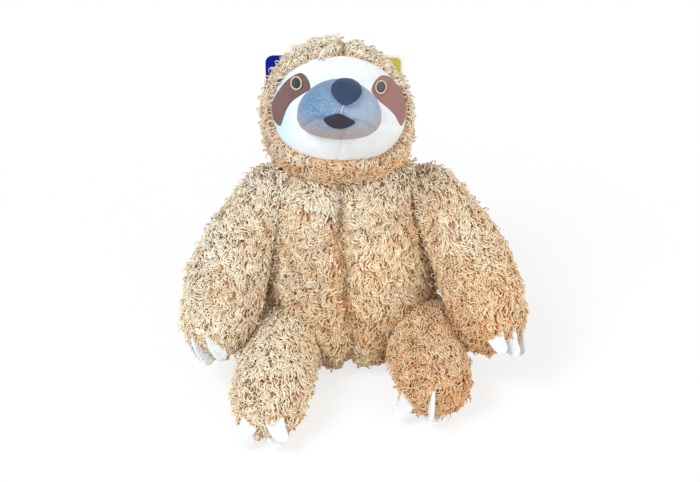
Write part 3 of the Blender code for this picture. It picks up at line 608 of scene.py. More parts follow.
@dataclass(frozen=True)
class Padding:
    """Air pressure that swells a stuffed cloth between its seams."""

    pressure: float = 4.0
    quality: int = 4
    frames: int = 20
    most: float = 0.0016

    def settle(self, obj: bpy.types.Object, seams: np.ndarray) -> None:
        """Simulates the cloth and keeps the result, with its movement capped.

        Args:
            obj: The cloth, which is changed.
            seams: Whether each vertex is held.
        """
        rest = vertices_of(obj)
        group = obj.vertex_groups.new(name="seams")
        group.add(np.flatnonzero(seams).tolist(), 1.0, "REPLACE")
        cloth = obj.modifiers.new("padding", "CLOTH")
        cloth.settings.vertex_group_mass = "seams"
        cloth.settings.use_pressure = True
        cloth.settings.uniform_pressure_force = self.pressure
        cloth.settings.quality = self.quality
        cloth.settings.effector_weights.gravity = 0.0
        cloth.point_cache.frame_start = 1
        cloth.point_cache.frame_end = self.frames
        scene = bpy.context.scene
        for number in range(1, self.frames + 1):
            scene.frame_set(number)
        swollen = obj.evaluated_get(bpy.context.evaluated_depsgraph_get()).data
        moved = rows_of(swollen.vertices, "co") - rest
        obj.modifiers.clear()
        obj.vertex_groups.clear()
        scene.frame_set(1)
        length = np.linalg.norm(moved, axis=1, keepdims=True)
        moved *= np.minimum(1.0, self.most / np.maximum(length, TINY))
        set_vertices(obj, rest + moved)
        LOG.info("%s: padded, moved up to %.1f mm", obj.name, MM_PER_M * min(self.most, float(length.max())))


def field_of(places: np.ndarray, wave: float, seed: int) -> np.ndarray:
    """Returns a smooth random field at some places.

    Args:
        places: The places as rows.
        wave: The length of its waves in metres.
        seed: Which field it is.

    Returns:
        A number from about -1 to 1 for each place.
    """
    rng = np.random.default_rng(seed)
    total = np.zeros(len(places))
    for _ in range(WAVES):
        way = rng.normal(size=3)
        way *= math.tau / wave * rng.uniform(*WAVE_SPREAD) / np.linalg.norm(way)
        total += np.sin(places @ way + rng.uniform(0, math.tau))
    return total / WAVE_SUM


def unit(rows: np.ndarray) -> np.ndarray:
    """Returns vectors scaled to a length of one."""
    return rows / np.maximum(np.linalg.norm(rows, axis=-1, keepdims=True), TINY)


def bell(values: np.ndarray, middle: float, reach: float) -> np.ndarray:
    """Returns 1 at the middle, falling smoothly towards nothing beyond the reach."""
    return np.exp(-(((values - middle) / reach) ** 2))


def slope(values: np.ndarray, start: float, length: float) -> np.ndarray:
    """Returns a rise from 0 at the start to 1 after a length, which is negative to run down the axis."""
    return np.clip((values - start) / length, 0, 1)


@dataclass(frozen=True)
class PaintedLightAndShade:
    """A region of the pile where light and shade are painted into the locks' warmth and tone, bounded by
    bells and slopes along the axes.

    A bell is an axis, its middle and its reach. A slope is an axis, its start and its length.
    """

    warm: float = 0.0
    tone: float = 0.0
    bells: tuple[Band, ...] = ()
    slopes: tuple[Band, ...] = ()

    def share(self, places: np.ndarray) -> np.ndarray:
        """Finds how far each place lies in the region.

        Args:
            places: The places as rows.

        Returns:
            A share from 0 to 1 for each place.
        """
        total = np.ones(len(places))
        for axis, middle, reach in self.bells:
            total *= bell(places[:, axis], middle, reach)
        for axis, start, length in self.slopes:
            total *= slope(places[:, axis], start, length)
        return total


FRONT = (Axis.Y, 0.0, -0.03)
CROWN = (Axis.Z, 0.205, 0.03)
PAW = ((Axis.Z, 0.10, -0.04), (Axis.Y, -0.02, -0.03))
# Painted light and shade in the pile's colour: darker or cooler where shade falls, at the throat under the
# head, along the belly seam, on the toy's right side of the head, the outer side of its left arm and its left
# paws; paler where light falls, on the breast, the left flank and the paws; painted cool light on the crown.
PAINTED_LIGHT_AND_SHADE = {
    "throat": PaintedLightAndShade(0.28, -0.26, ((Axis.Z, 0.218, 0.014),), (FRONT,)),
    "breast": PaintedLightAndShade(-0.14, 0.16, ((Axis.Z, 0.190, 0.020), (Axis.X, 0.0, 0.05)), (FRONT,)),
    "crown": PaintedLightAndShade(-0.12, 0.0, (), (CROWN,)),
    "outer side of the left arm": PaintedLightAndShade(-0.12, 0.0, (), ((Axis.X, 0.08, 0.03),)),
    "right side of the head": PaintedLightAndShade(-0.25, -0.50, (), (CROWN, (Axis.X, -0.04, -0.025))),
    "left flank": PaintedLightAndShade(0.0, 0.30, ((Axis.X, 0.045, 0.035), (Axis.Z, 0.105, 0.05))),
    "belly seam": PaintedLightAndShade(0.0, -0.26, ((Axis.X, -0.002, 0.022), (Axis.Z, 0.12, 0.05)), (FRONT,)),
    "paws": PaintedLightAndShade(0.0, 0.22, (), PAW),
    "left paws": PaintedLightAndShade(0.0, -0.78, (), (*PAW, (Axis.X, 0.0, 0.07))),
}


@dataclass(frozen=True)
class DyeAndPaintedLight:
    """How the locks' warmth and tone run over the toy: random dye differences, and painted light, warmer low
    down, cooler and paler on top.
    """

    tone: float = 0.5
    tone_clump: float = 0.2
    clump_wave: float = 0.010
    tone_patch: float = 0.12
    tone_wave: float = 0.06
    tone_spread: float = 0.13
    warm: float = 0.62
    # Painted light: the pile is warmer low down, towards the toy's left and where it faces down.
    warm_height: float = 0.16
    warm_fall: float = 2.6
    warm_left: float = 2.2
    warm_under: float = 0.28
    warm_patch: float = 0.16
    warm_wave: float = 0.05
    warm_spread: float = 0.10
    most: float = 0.999

    def strips(self, root: np.ndarray, normal: np.ndarray, rng: np.random.Generator) -> np.ndarray:
        """Chooses each lock's colours: its dye, with painted light and shade.

        Args:
            root: The roots' places.
            normal: The surface's normals there.
            rng: The source of chance.

        Returns:
            The strip of the fur's map for each lock.
        """
        tone = self.tone + self.tone_clump * field_of(root, self.clump_wave, Chance.CLUMP)
        tone += self.tone_patch * field_of(root, self.tone_wave, Chance.TONE)
        tone += rng.normal(0, self.tone_spread, len(root))
        # Painted light: warmer low down, towards the toy's left and where the surface faces down.
        warm = self.warm - self.warm_fall * (root[:, Axis.Z] - self.warm_height)
        warm += self.warm_left * root[:, Axis.X] - self.warm_under * normal[:, Axis.Z]
        warm += self.warm_patch * field_of(root, self.warm_wave, Chance.WARMTH)
        warm += rng.normal(0, self.warm_spread, len(root))
        # Regions of painted light and shade.
        for shade in PAINTED_LIGHT_AND_SHADE.values():
            share = shade.share(root)
            warm += shade.warm * share
            tone += shade.tone * share
        warm, tone = (np.clip(value, 0, self.most) for value in (warm, tone))
        return np.floor(warm * WARMTHS) * TONES + np.floor(tone * TONES)


@dataclass(frozen=True)
class Pile:
    """Curly pile: thousands of bent, tapering locks that lean together in clumps.

    A tuft is its place, its reach and how much taller the locks stand there.
    """

    density: float = 310000.0
    length: float = 0.0104
    height: float = 0.0056
    width: float = 0.00122
    size_spread: float = 0.2
    clump_wave: float = 0.010
    length_clump: float = 0.12
    height_clump: float = 0.13
    pressed_length: float = 0.6
    stray: float = 0.04
    stray_gain: float = 0.7
    arch: tuple[float, float] = (2.7, 2.1)
    shortening: float = 0.22
    swirl: float = 0.05
    swirl_wave: float = 0.03
    turn: float = 0.85
    turn_wave: float = 0.014
    drift: float = 0.5
    drift_wave: float = 0.04
    turn_spread: float = 0.28
    curl: float = 0.0015
    curl_spread: tuple[float, float] = (0.6, 1.4)
    curl_turn: float = 7.4
    curl_rise: float = 0.35
    phase_clump: float = 1.6
    phase_wave: float = 0.012
    phase_spread: float = 0.4
    width_spread: tuple[float, float] = (0.8, 1.25)
    taper: tuple[float, float] = (1.05, 0.5)
    ridge: float = 0.9
    lowest: float = 0.0004
    lowest_spread: float = 0.0003
    tufts: tuple[tuple[float, ...], ...] = (
        (0.070, -0.012, 0.192, 0.015, 0.6), (0.060, -0.010, 0.196, 0.015, 0.6),
        (0.092, -0.030, 0.080, 0.015, 0.9), (-0.070, 0.000, 0.203, 0.018, 1.2),
        (-0.074, 0.000, 0.250, 0.035, 0.28), (-0.030, 0.000, 0.315, 0.030, 0.25),
    )
    rings: int = 5
    sunk: float = 0.0008
    map_up: tuple[float, float] = (0.01, 0.99)
    map_across: tuple[float, float, float] = (0.15, 0.85, 0.5)
    piece_locks: int = 8000

    def roots(self, base: bpy.types.Object, rng: np.random.Generator) -> tuple[np.ndarray, np.ndarray]:
        """Scatters the roots of the locks evenly over a surface.

        Args:
            base: The cloth that they grow from.
            rng: The source of chance.

        Returns:
            Their places and the surface's normals there.
        """
        mesh = base.data
        mesh.calc_loop_triangles()
        corners = np.empty(len(mesh.loop_triangles) * 3, np.int32)
        mesh.loop_triangles.foreach_get("vertices", corners)
        corners = corners.reshape(-1, 3)
        places, normals = vertices_of(base)[corners], normals_of(base)[corners]
        crossed = np.cross(places[:, 1] - places[:, 0], places[:, 2] - places[:, 0])
        areas = np.linalg.norm(crossed, axis=1) / 2
        count = int(areas.sum() * self.density)
        chosen = np.searchsorted(np.cumsum(areas) / areas.sum(), rng.random(count))
        chosen = np.minimum(chosen, len(areas) - 1)
        first, second = np.sqrt(rng.random(count)), rng.random(count)
        shares = np.stack([1 - first, first * (1 - second), first * second], axis=1)[:, :, None]
        return (places[chosen] * shares).sum(axis=1), unit((normals[chosen] * shares).sum(axis=1))

    def lie(
        self, root: np.ndarray, normal: np.ndarray, flow: np.ndarray, rng: np.random.Generator
    ) -> np.ndarray:
        """Works out which way each lock lies: along the flow, swirling in clumps.

        Args:
            root: The roots' places.
            normal: The surface's normals there.
            flow: The way that the pile is combed at each root.
            rng: The source of chance.

        Returns:
            A direction on the surface for each lock.
        """
        seeds = (Chance.SWIRL_X, Chance.SWIRL_Y, Chance.SWIRL_Z)
        down = flow + self.swirl * np.stack([field_of(root, self.swirl_wave, seed) for seed in seeds], axis=1)
        down = unit(down - normal * (down * normal).sum(axis=1, keepdims=True))
        side = np.cross(normal, down)
        turn = self.turn * field_of(root, self.turn_wave, Chance.TURN)
        turn += self.drift * field_of(root, self.drift_wave, Chance.DRIFT)
        turn += rng.normal(0, self.turn_spread, len(root))
        return down * np.cos(turn)[:, None] + side * np.sin(turn)[:, None]

    def rows(
        self, root: np.ndarray, normal: np.ndarray, way: np.ndarray, squeeze: np.ndarray,
        rng: np.random.Generator,
    ) -> np.ndarray:
        """Works out the rings of every lock.

        Args:
            root: The roots' places.
            normal: The surface's normals there.
            way: The way that each lock lies.
            squeeze: How high each lock stands, as a share.
            rng: The source of chance.

        Returns:
            An array of locks, by rings, by three corners, by three coordinates.
        """
        count = len(root)
        side = np.cross(normal, way)
        clump = field_of(root, self.clump_wave, Chance.CLUMP)
        spread = (-self.size_spread, self.size_spread, count)
        length = self.length * (1 + self.length_clump * clump + rng.uniform(*spread))
        length *= self.pressed_length + (1 - self.pressed_length) * squeeze
        height = self.height * (1 + self.height_clump * clump + rng.uniform(*spread)) * squeeze
        height *= 1 + self.stray_gain * (rng.random(count) < self.stray)
        for *place, reach, gain in self.tufts:
            height *= 1 + gain * np.exp(-((root - np.array(place)) ** 2).sum(axis=1) / reach**2)
        phase = self.phase_clump * field_of(root, self.phase_wave, Chance.CURL)
        phase = (phase + rng.normal(0, self.phase_spread, count))[:, None]
        curl = (self.curl * rng.uniform(*self.curl_spread, count))[:, None]
        share = np.linspace(0, 1, self.rings)
        rise, fall = self.arch
        lift = height[:, None] * (rise * share - fall * share**2) - self.sunk
        forward = length[:, None] * share * (1 - self.shortening * share)
        wave = np.sin(self.curl_turn * share + phase) - np.sin(phase)
        bob = np.cos(self.curl_turn * share + phase) - np.cos(phase)
        centre = root[:, None] + normal[:, None] * (lift + self.curl_rise * curl * bob)[..., None]
        centre += way[:, None] * forward[..., None] + side[:, None] * (curl * wave)[..., None]
        tangent = unit(np.gradient(centre, axis=1))
        across = unit(np.cross(tangent, normal[:, None]))
        upward = np.cross(across, tangent)
        full, power = self.taper
        wide = self.width * rng.uniform(*self.width_spread, count)[:, None]
        girth = (wide * (full - share) ** power)[..., None]
        sides = [centre - across * girth, centre + across * girth, centre + upward * girth * self.ridge]
        rows = np.stack(sides, axis=2)
        lowest = self.lowest + self.lowest_spread * rng.random(count)[:, None, None]
        rows[..., Axis.Z] = np.maximum(rows[..., Axis.Z], lowest)
        return rows

    def mesh(self, name: str, rows: np.ndarray, strip: np.ndarray) -> bpy.types.Object:
        """Makes one piece of locks.

        Args:
            name: The piece's name.
            rows: Its locks' rings.
            strip: The strip of the map that each lock takes its colour from.

        Returns:
            The piece.
        """
        count = len(rows)
        start = (np.arange(count) * self.rings * SIDES)[:, None, None]
        step = (np.arange(self.rings - 1) * SIDES)[None, :, None]
        corner = np.arange(SIDES)[None, None, :]
        low, low_next = start + step + corner, start + step + (corner + 1) % SIDES
        quads = np.stack([low, low_next, low_next + SIDES, low + SIDES], axis=-1).reshape(-1)
        share = np.linspace(*self.map_up, self.rings)
        shape = (count, self.rings, SIDES)
        up = np.broadcast_to(share[None, :, None], shape).reshape(-1)
        out = (strip[:, None, None] + np.array(self.map_across)[None, None]) / (WARMTHS * TONES)
        out = np.broadcast_to(out, shape).reshape(-1)
        mesh = bpy.data.meshes.new(name)
        mesh.vertices.add(count * self.rings * SIDES)
        mesh.vertices.foreach_set("co", rows.astype(np.float32).ravel())
        mesh.loops.add(len(quads))
        mesh.loops.foreach_set("vertex_index", quads.astype(np.int32))
        mesh.polygons.add(len(quads) // 4)
        mesh.polygons.foreach_set("loop_start", np.arange(0, len(quads), 4, dtype=np.int32))
        mesh.update(calc_edges=True)
        layer = mesh.uv_layers.new(name=FUR_UV)
        laid = np.stack([out[quads], up[quads]], axis=1)
        layer.data.foreach_set("uv", laid.astype(np.float32).ravel())
        return link(name, mesh)


@dataclass
class FurPart:
    """One stuffed fur part: the cloth that holds its shape, and the pile on it."""

    body: str
    nodes: tuple[str, ...]
    hides: tuple[str, ...]
    flow: Vector
    seed: int
    fill: float = 0.8
    voxel: float = 0.0042
    rounds: int = 14
    inset: float = 0.0012
    held_low: float = 0.006
    held_high: float = 0.004
    lowest: float = 0.0006
    pressed: float = 0.45
    look_ahead: float = 0.003
    ground: float = 0.006
    ground_facing: float = -0.7
    base: bpy.types.Object = field(init=False)

    def build_base(self, padding: Padding, face: BVHTree, fur: BVHTree) -> None:
        """Makes the cloth, swells it between its seams and draws it in under the pile and the face.

        Args:
            padding: The pressure that swells it.
            face: A search tree of the face panel.
            fur: A search tree of the head's fur.
        """
        self.base = softened(f"{self.body}_cloth", self.nodes, self.voxel, self.rounds)
        heights = vertices_of(self.base)[:, Axis.Z]
        low, high = heights.min() + self.held_low, heights.max() - self.held_high
        padding.settle(self.base, (heights < low) | (heights > high))
        places = vertices_of(self.base)
        places = self.pinch(places - self.depths(places, face, fur)[:, None] * normals_of(self.base))
        places[:, Axis.Z] = np.maximum(places[:, Axis.Z], self.lowest)
        set_vertices(self.base, places)

    def depths(self, places: np.ndarray, face: BVHTree, fur: BVHTree) -> np.ndarray:
        """Returns how far each vertex of the cloth is drawn in: evenly."""
        return np.full(len(places), self.inset)

    def pinch(self, places: np.ndarray) -> np.ndarray:
        """Returns the cloth's vertices as they are, because a plain part has no seam in sight."""
        return places

    def combing(self, root: np.ndarray) -> np.ndarray:
        """Returns which way the pile is combed at each root: along the flow."""
        return np.repeat(np.array(self.flow)[None], len(root), axis=0)

    def trimmed(self, root: np.ndarray) -> np.ndarray:
        """Returns how high the pile stands at each root, as a share: full height."""
        return np.ones(len(root))

    def faced(self, root: np.ndarray, face: BVHTree, fur: BVHTree) -> np.ndarray:
        """Returns whether each root lies on the face panel: never."""
        return np.zeros(len(root), bool)

    def dress(self, finish: bpy.types.Material) -> None:
        """Dresses the cloth, and lets it stand for the part's solids.

        Args:
            finish: The cloth's material.
        """
        finish_piece(self.base, self.body, finish)
        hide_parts(*self.hides)

    def covered(self, root: np.ndarray, normal: np.ndarray, others: "list[FurPart]") -> np.ndarray:
        """Finds the roots that another part lies on.

        Args:
            root: The roots' places.
            normal: The normals there.
            others: The other parts.

        Returns:
            Whether each root is covered.
        """
        out = np.zeros(len(root), bool)
        ahead = root + normal * self.look_ahead
        for other in others:
            tree = tree_of(other.base)
            corners = vertices_of(other.base)
            near = ((ahead > corners.min(axis=0)) & (ahead < corners.max(axis=0))).all(axis=1) & ~out
            for index in np.flatnonzero(near):
                point = Vector(ahead[index])
                place, facing, _, _ = tree.find_nearest(point)
                out[index] = (point - place).dot(facing) < 0
        return out

    def grow(
        self, pile: Pile, others: "list[FurPart]", face: BVHTree, fur: BVHTree, finish: bpy.types.Material
    ) -> None:
        """Grows the pile.

        Args:
            pile: What the pile is like.
            others: The other parts, under which it is pressed flat.
            face: A search tree of the face panel.
            fur: A search tree of the head's fur.
            finish: The pile's material.
        """
        rng = np.random.default_rng(self.seed)
        root, normal = pile.roots(self.base, rng)
        grounded = (root[:, Axis.Z] < self.ground) & (normal[:, Axis.Z] < self.ground_facing)
        kept = ~(grounded | self.faced(root, face, fur))
        root, normal = root[kept], normal[kept]
        squeeze = np.where(self.covered(root, normal, others), self.pressed, 1.0) * self.trimmed(root)
        way = pile.lie(root, normal, self.combing(root), rng)
        rows = pile.rows(root, normal, way, squeeze, rng)
        strip = DyeAndPaintedLight().strips(root, normal, rng)
        centre = root.mean(axis=0)
        order = np.argsort(np.arctan2(root[:, Axis.Y] - centre[Axis.Y], root[:, Axis.X] - centre[Axis.X]))
        pieces = math.ceil(len(order) / pile.piece_locks)
        for number, chosen in enumerate(np.array_split(order, pieces), 1):
            piece = pile.mesh(f"{self.body}_fur_{number}", rows[chosen], strip[chosen])
            finish_piece(piece, self.body, finish)


@dataclass
class TorsoFur(FurPart):
    """The body's fur, with a seam down the belly that draws the cloth in and parts the pile."""

    seam_left: float = 0.006
    seam_drift: float = 0.012
    drift_from: float = 0.05
    drift_length: float = 0.14
    seam_sway: float = 0.0018
    seam_sways: float = 90.0
    seam_width: float = 0.0085
    seam_depth: float = 0.0100
    belly_front: float = -0.02
    belly_round: float = -0.02
    comb_turn: float = 0.6
    comb_wave: float = 0.006
    comb_reach: float = 0.02
    cut: float = 0.5
    cut_width: float = 0.007
    ridge: float = 0.5
    ridge_side: float = -0.013
    ridge_width: float = 0.005

    def seam_side(self, places: np.ndarray) -> np.ndarray:
        """Finds how far places are to the toy's left of the middle seam.

        Args:
            places: The places as rows.

        Returns:
            The distance of each, negative on the toy's right.
        """
        up = places[:, Axis.Z]
        drift = self.seam_drift * slope(up, self.drift_from, self.drift_length)
        return places[:, Axis.X] - self.seam_left + (drift + self.seam_sway * np.sin(up * self.seam_sways))

    def pinch(self, places: np.ndarray) -> np.ndarray:
        """Draws in the seam down the belly.

        Args:
            places: The cloth's vertices.

        Returns:
            The changed vertices.
        """
        near = bell(self.seam_side(places), 0.0, self.seam_width)
        near *= slope(places[:, Axis.Y], self.belly_front, self.belly_round)
        places[:, Axis.Y] += self.seam_depth * near
        return places

    def combing(self, root: np.ndarray) -> np.ndarray:
        """Works out which way the pile is combed: along the flow, and away from the belly's seam.

        Args:
            root: The roots' places.

        Returns:
            A direction for each root.
        """
        ways = super().combing(root)
        off = self.seam_side(root)
        parted = np.sin(off / self.comb_wave) * bell(off, 0.0, self.comb_reach)
        ways[:, Axis.X] += self.comb_turn * parted * (root[:, Axis.Y] < 0)
        return ways

    def trimmed(self, root: np.ndarray) -> np.ndarray:
        """Works out how high the pile stands: low beside the belly's seam, with a ridge along it.

        Args:
            root: The roots' places.

        Returns:
            A share of the full height for each root.
        """
        off = self.seam_side(root)
        ridge = self.ridge * bell(off, self.ridge_side, self.ridge_width)
        return 1 + (root[:, Axis.Y] < self.belly_front) * (ridge - self.cut * bell(off, 0.0, self.cut_width))


@dataclass
class HeadFur(FurPart):
    """The head's fur, with a parting on the crown and an opening for the face."""

    middle: tuple[float, float, float] = (-0.0054, -0.02, 0.262)
    parting: float = -0.001
    parting_width: float = 0.0045
    parting_depth: float = 0.0050
    parting_from: float = 0.30
    parting_length: float = 0.012
    outward: float = 0.75
    outward_from: float = 0.04
    outward_length: float = -0.04
    crown_turn: float = 1.2
    crown_from: float = 0.29
    crown_length: float = 0.02
    face_behind: float = 0.03
    face_depth: float = 0.0028
    rim_start: float = -0.0008
    rim_length: float = 0.002
    rim_cover: float = 0.0012

    def depths(self, places: np.ndarray, face: BVHTree, fur: BVHTree) -> np.ndarray:
        """Works out how far each vertex of the cloth is drawn in: further behind the face.

        Args:
            places: The cloth's vertices.
            face: A search tree of the face panel.
            fur: A search tree of the head's fur.

        Returns:
            A depth for each vertex.
        """
        depths = super().depths(places, face, fur)
        for index in np.flatnonzero(places[:, Axis.Y] < self.face_behind):
            point = Vector(places[index])
            inside = fur.find_nearest(point)[3] - face.find_nearest(point)[3]
            depths[index] += self.face_depth * slope(inside, self.rim_start, self.rim_length)
        return depths

    def pinch(self, places: np.ndarray) -> np.ndarray:
        """Draws in the parting on top of the head.

        Args:
            places: The cloth's vertices.

        Returns:
            The changed vertices.
        """
        near = bell(places[:, Axis.X], self.parting, self.parting_width)
        near *= slope(places[:, Axis.Z], self.parting_from, self.parting_length)
        places[:, Axis.Z] -= self.parting_depth * near
        return places

    def combing(self, root: np.ndarray) -> np.ndarray:
        """Works out which way the pile is combed: outwards round the face, and away from the parting.

        Args:
            root: The roots' places.

        Returns:
            A direction for each root.
        """
        front = slope(root[:, Axis.Y], self.outward_from, self.outward_length)[:, None]
        ways = super().combing(root) * (1 - self.outward * front) + unit(root - np.array(self.middle)) * front
        top = slope(root[:, Axis.Z], self.crown_from, self.crown_length)
        ways[:, Axis.X] += self.crown_turn * np.sign(root[:, Axis.X] - self.parting) * top
        return ways

    def faced(self, root: np.ndarray, face: BVHTree, fur: BVHTree) -> np.ndarray:
        """Finds the roots that lie on the face panel, except close to its rim.

        Args:
            root: The roots' places.
            face: A search tree of the face panel.
            fur: A search tree of the head's fur.

        Returns:
            Whether each root is on the panel.
        """
        out = super().faced(root, face, fur)
        for index in np.flatnonzero(root[:, Axis.Y] < self.face_behind):
            point = Vector(root[index])
            out[index] = fur.find_nearest(point)[3] > face.find_nearest(point)[3] + self.rim_cover
        return out


@dataclass
class Face:
    """The velour face with its eyes, muzzle, nose and mouth.

    The points of its outlines and lines are in millimetres of the face plane. A crease is half its width
    and its depth.
    """

    body: str = "head"
    centre: Vector = field(default_factory=lambda: Vector((-0.0054, 0.0059, 0.2590)))
    turns: tuple[float, float, float] = (1.0, -23.0, -3.0)
    ray_from: float = 0.2
    panel_voxel: float = 0.0013
    panel_rounds: int = 10
    panel_inset: float = 0.0003
    panel_spread: float = 1.022
    panel_up: float = -0.0035
    patch_centre: tuple[float, float] = (46.0, 3.0)
    left_patch: tuple = (
        (38.6, 28.8), (33.6, 25.3), (29.9, 19.2), (28.7, 13.9), (33.0, 7.8), (39.1, 2.8),
        (46.0, -2.2), (51.8, -7.4), (55.5, -12.6), (58.7, -17.6), (62.2, -12.6), (64.0, -6.1),
        (64.5, 2.6), (61.5, 11.0), (57.5, 18.5), (52.0, 24.8), (46.0, 28.2),
    )
    right_patch: tuple = (
        (37.3, 27.5), (31.5, 24.0), (28.3, 18.5), (27.6, 13.0), (32.1, 9.6), (38.3, 5.2),
        (44.0, 0.5), (48.8, -6.5), (51.9, -14.0), (54.0, -22.3), (58.8, -20.0), (62.8, -14.0),
        (64.3, -6.5), (62.2, 1.8), (58.0, 9.5), (52.8, 16.9), (46.0, 23.4),
    )
    patch_lift: float = 0.0011
    patch_roll: int = 10
    patch_rings: int = 14
    patch_sides: int = 72
    muzzle_voxel: float = 0.0012
    muzzle_rounds: int = 12
    muzzle_held: float = 0.012
    top_from: float = 0.008
    top_length: float = 0.018
    top_narrow: float = 0.07
    top_drop: float = 0.0024
    nose_voxel: float = 0.0007
    nose_rounds: int = 8
    mouth_voxel: float = 0.0006
    mouth_rounds: int = 3
    eye_voxel: float = 0.0004
    ring_rounds: int = 4
    pupil_rounds: int = 6
    thread: float = 0.0007
    thread_lift: float = 0.00035
    thread_round: int = 2
    thread_order: int = 3
    smiles: tuple = (
        ((-14.5, -12.1), (-19.0, -13.4), (-23.4, -15.3), (-27.5, -18.2), (-31.4, -21.3)),
        ((14.4, -14.1), (19.0, -14.4), (24.1, -15.9), (29.0, -18.8), (34.1, -22.2)),
    )
    smile_crease: tuple[float, float] = (0.0022, 0.0026)
    philtrum: tuple = ((4.1, 1.5), (3.2, -1.0), (1.9, -3.4), (1.4, -6.0), (1.3, -8.0))
    philtrum_crease: tuple[float, float] = (0.0024, 0.0010)
    chin: tuple = ((1.1, -22.2), (1.0, -25.0), (0.9, -27.8), (0.8, -30.5))
    chin_crease: tuple[float, float] = (0.0035, 0.0024)
    seam: tuple = ((1.0, -31.0), (1.0, -34.9), (0.3, -41.5), (-0.1, -51.0))
    seam_crease: tuple[float, float] = (0.0014, 0.0014)

    def frame(self) -> Matrix:
        """Works out where the face plane lies.

        Returns:
            Its frame: X out to the toy's left, Y up the face, Z forwards.
        """
        yaw, pitch, roll = (math.radians(turn) for turn in self.turns)
        upright = Matrix.Rotation(math.pi / 2, 4, "X")
        turned = Matrix.Rotation(yaw, 4, "Z") @ Matrix.Rotation(pitch, 4, "X") @ upright
        return Matrix.Translation(self.centre) @ turned @ Matrix.Rotation(roll, 4, "Z")

    def plane(self) -> tuple[np.ndarray, np.ndarray]:
        """Returns the face plane's axes as columns, and its centre."""
        lying = np.array(self.frame())
        return lying[:3, :3], lying[:3, 3]

    def on(self, tree: BVHTree, line: tuple, lift: float = 0.0) -> np.ndarray:
        """Lays a line of the face plane on a surface.

        Args:
            tree: The surface.
            line: Points in the face plane, in millimetres.
            lift: How far it stands off the surface.

        Returns:
            Its points as rows.
        """
        lying = self.frame()
        back = -(lying.to_3x3() @ Vector((0, 0, 1)))
        points = []
        for out, up in line:
            start = Vector((out / MM_PER_M, up / MM_PER_M, self.ray_from))
            hit, normal, _, _ = tree.ray_cast(lying @ start, back)
            if hit is not None:
                points.append(hit + normal * lift)
        return np.array(points)

    def crease(self, obj: bpy.types.Object, line: tuple, width: float, depth: float) -> None:
        """Draws the cloth in along a line.

        Args:
            obj: The cloth, which is changed.
            line: Points in the face plane, in millimetres.
            width: Half the crease's width.
            depth: Its depth.
        """
        points = self.on(tree_of(obj), line)
        places = vertices_of(obj)
        nearest = np.full(len(places), 1.0)
        for first, second in zip(points[:-1], points[1:]):
            span = second - first
            share = np.clip((places - first) @ span / (span @ span), 0, 1)
            nearest = np.minimum(nearest, np.linalg.norm(places - first - share[:, None] * span, axis=1))
        drawn = depth * np.exp(-((nearest / width) ** 2))
        set_vertices(obj, places - normals_of(obj) * drawn[:, None])

    def stitch(self, name: str, obj: bpy.types.Object, line: tuple, finish: ClothFinish) -> None:
        """Lays a thread along a line on the cloth.

        Args:
            name: The thread's name.
            obj: The cloth.
            line: Points in the face plane, in millimetres.
            finish: The thread's finish.
        """
        curve = bpy.data.curves.new(name, "CURVE")
        curve.dimensions = "3D"
        curve.bevel_depth = self.thread
        curve.bevel_resolution = self.thread_round
        curve.use_fill_caps = True
        points = self.on(tree_of(obj), line, self.thread_lift)
        spline = curve.splines.new("NURBS")
        spline.points.add(len(points) - 1)
        spline.points.foreach_set("co", np.hstack([points, np.ones((len(points), 1))]).ravel())
        spline.use_endpoint_u = True
        spline.order_u = self.thread_order
        laid = bpy.data.objects.new(f"{name}_line", curve)
        bpy.context.scene.collection.objects.link(laid)
        graph = bpy.context.evaluated_depsgraph_get()
        thread = link(name, bpy.data.meshes.new_from_object(laid.evaluated_get(graph)))
        bpy.data.objects.remove(laid)
        finish_piece(thread, self.body, finish.material())

    def soft(
        self, name: str, nodes: tuple[str, ...], voxel: float, rounds: int, finish: ClothFinish, slot: str
    ) -> bpy.types.Object:
        """Makes one soft piece of the face in place of solids of the fixed frame.

        Args:
            name: The piece's name.
            nodes: The solids that it stands for.
            voxel: The spacing of its surface.
            rounds: How many times it is smoothed.
            finish: Its cloth.
            slot: The record's slot; not used.

        Returns:
            The piece.
        """
        obj = softened(name, nodes, voxel, rounds)
        finish_piece(obj, self.body, finish.material())
        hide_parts(*nodes)
        return obj

    def spread(self, panel: bpy.types.Object) -> None:
        """Widens the panel a little, so that its rim lies under the fur, and sets it in.

        Args:
            panel: The panel, which is changed.
        """
        turned, centre = self.plane()
        flat = (vertices_of(panel) - self.panel_inset * normals_of(panel) - centre) @ turned
        middle = (0, self.panel_up)
        flat[:, :2] = (flat[:, :2] - middle) * self.panel_spread + middle
        set_vertices(panel, flat @ turned.T + centre)

    def lower(self, muzzle: bpy.types.Object) -> None:
        """Flattens and narrows the muzzle's top, so that the nose stands a little above it.

        Args:
            muzzle: The muzzle, which is changed.
        """
        turned, centre = self.plane()
        flat = (vertices_of(muzzle) - centre) @ turned
        high = slope(flat[:, 1], self.top_from, self.top_length)
        flat[:, 0] *= 1 - self.top_narrow * high
        flat[:, 1] -= self.top_drop * high**2
        set_vertices(muzzle, flat @ turned.T + centre)

    def outline(self, table: tuple) -> np.ndarray:
        """Draws a smooth closed outline through a patch's corners.

        Args:
            table: The corners.

        Returns:
            The outline's points as rows.
        """
        corners = np.array(table)
        place = np.arange(self.patch_sides) * len(corners) / self.patch_sides
        index, part = place.astype(int), (place % 1)[:, None]
        before, here, after, beyond = (corners[(index + shift) % len(corners)] for shift in (-1, 0, 1, 2))
        start = here * (1 + 2 * part) * (1 - part) ** 2 + (after - before) / 2 * part * (1 - part) ** 2
        return start + after * part**2 * (3 - 2 * part) + (beyond - here) / 2 * part**2 * (part - 1)

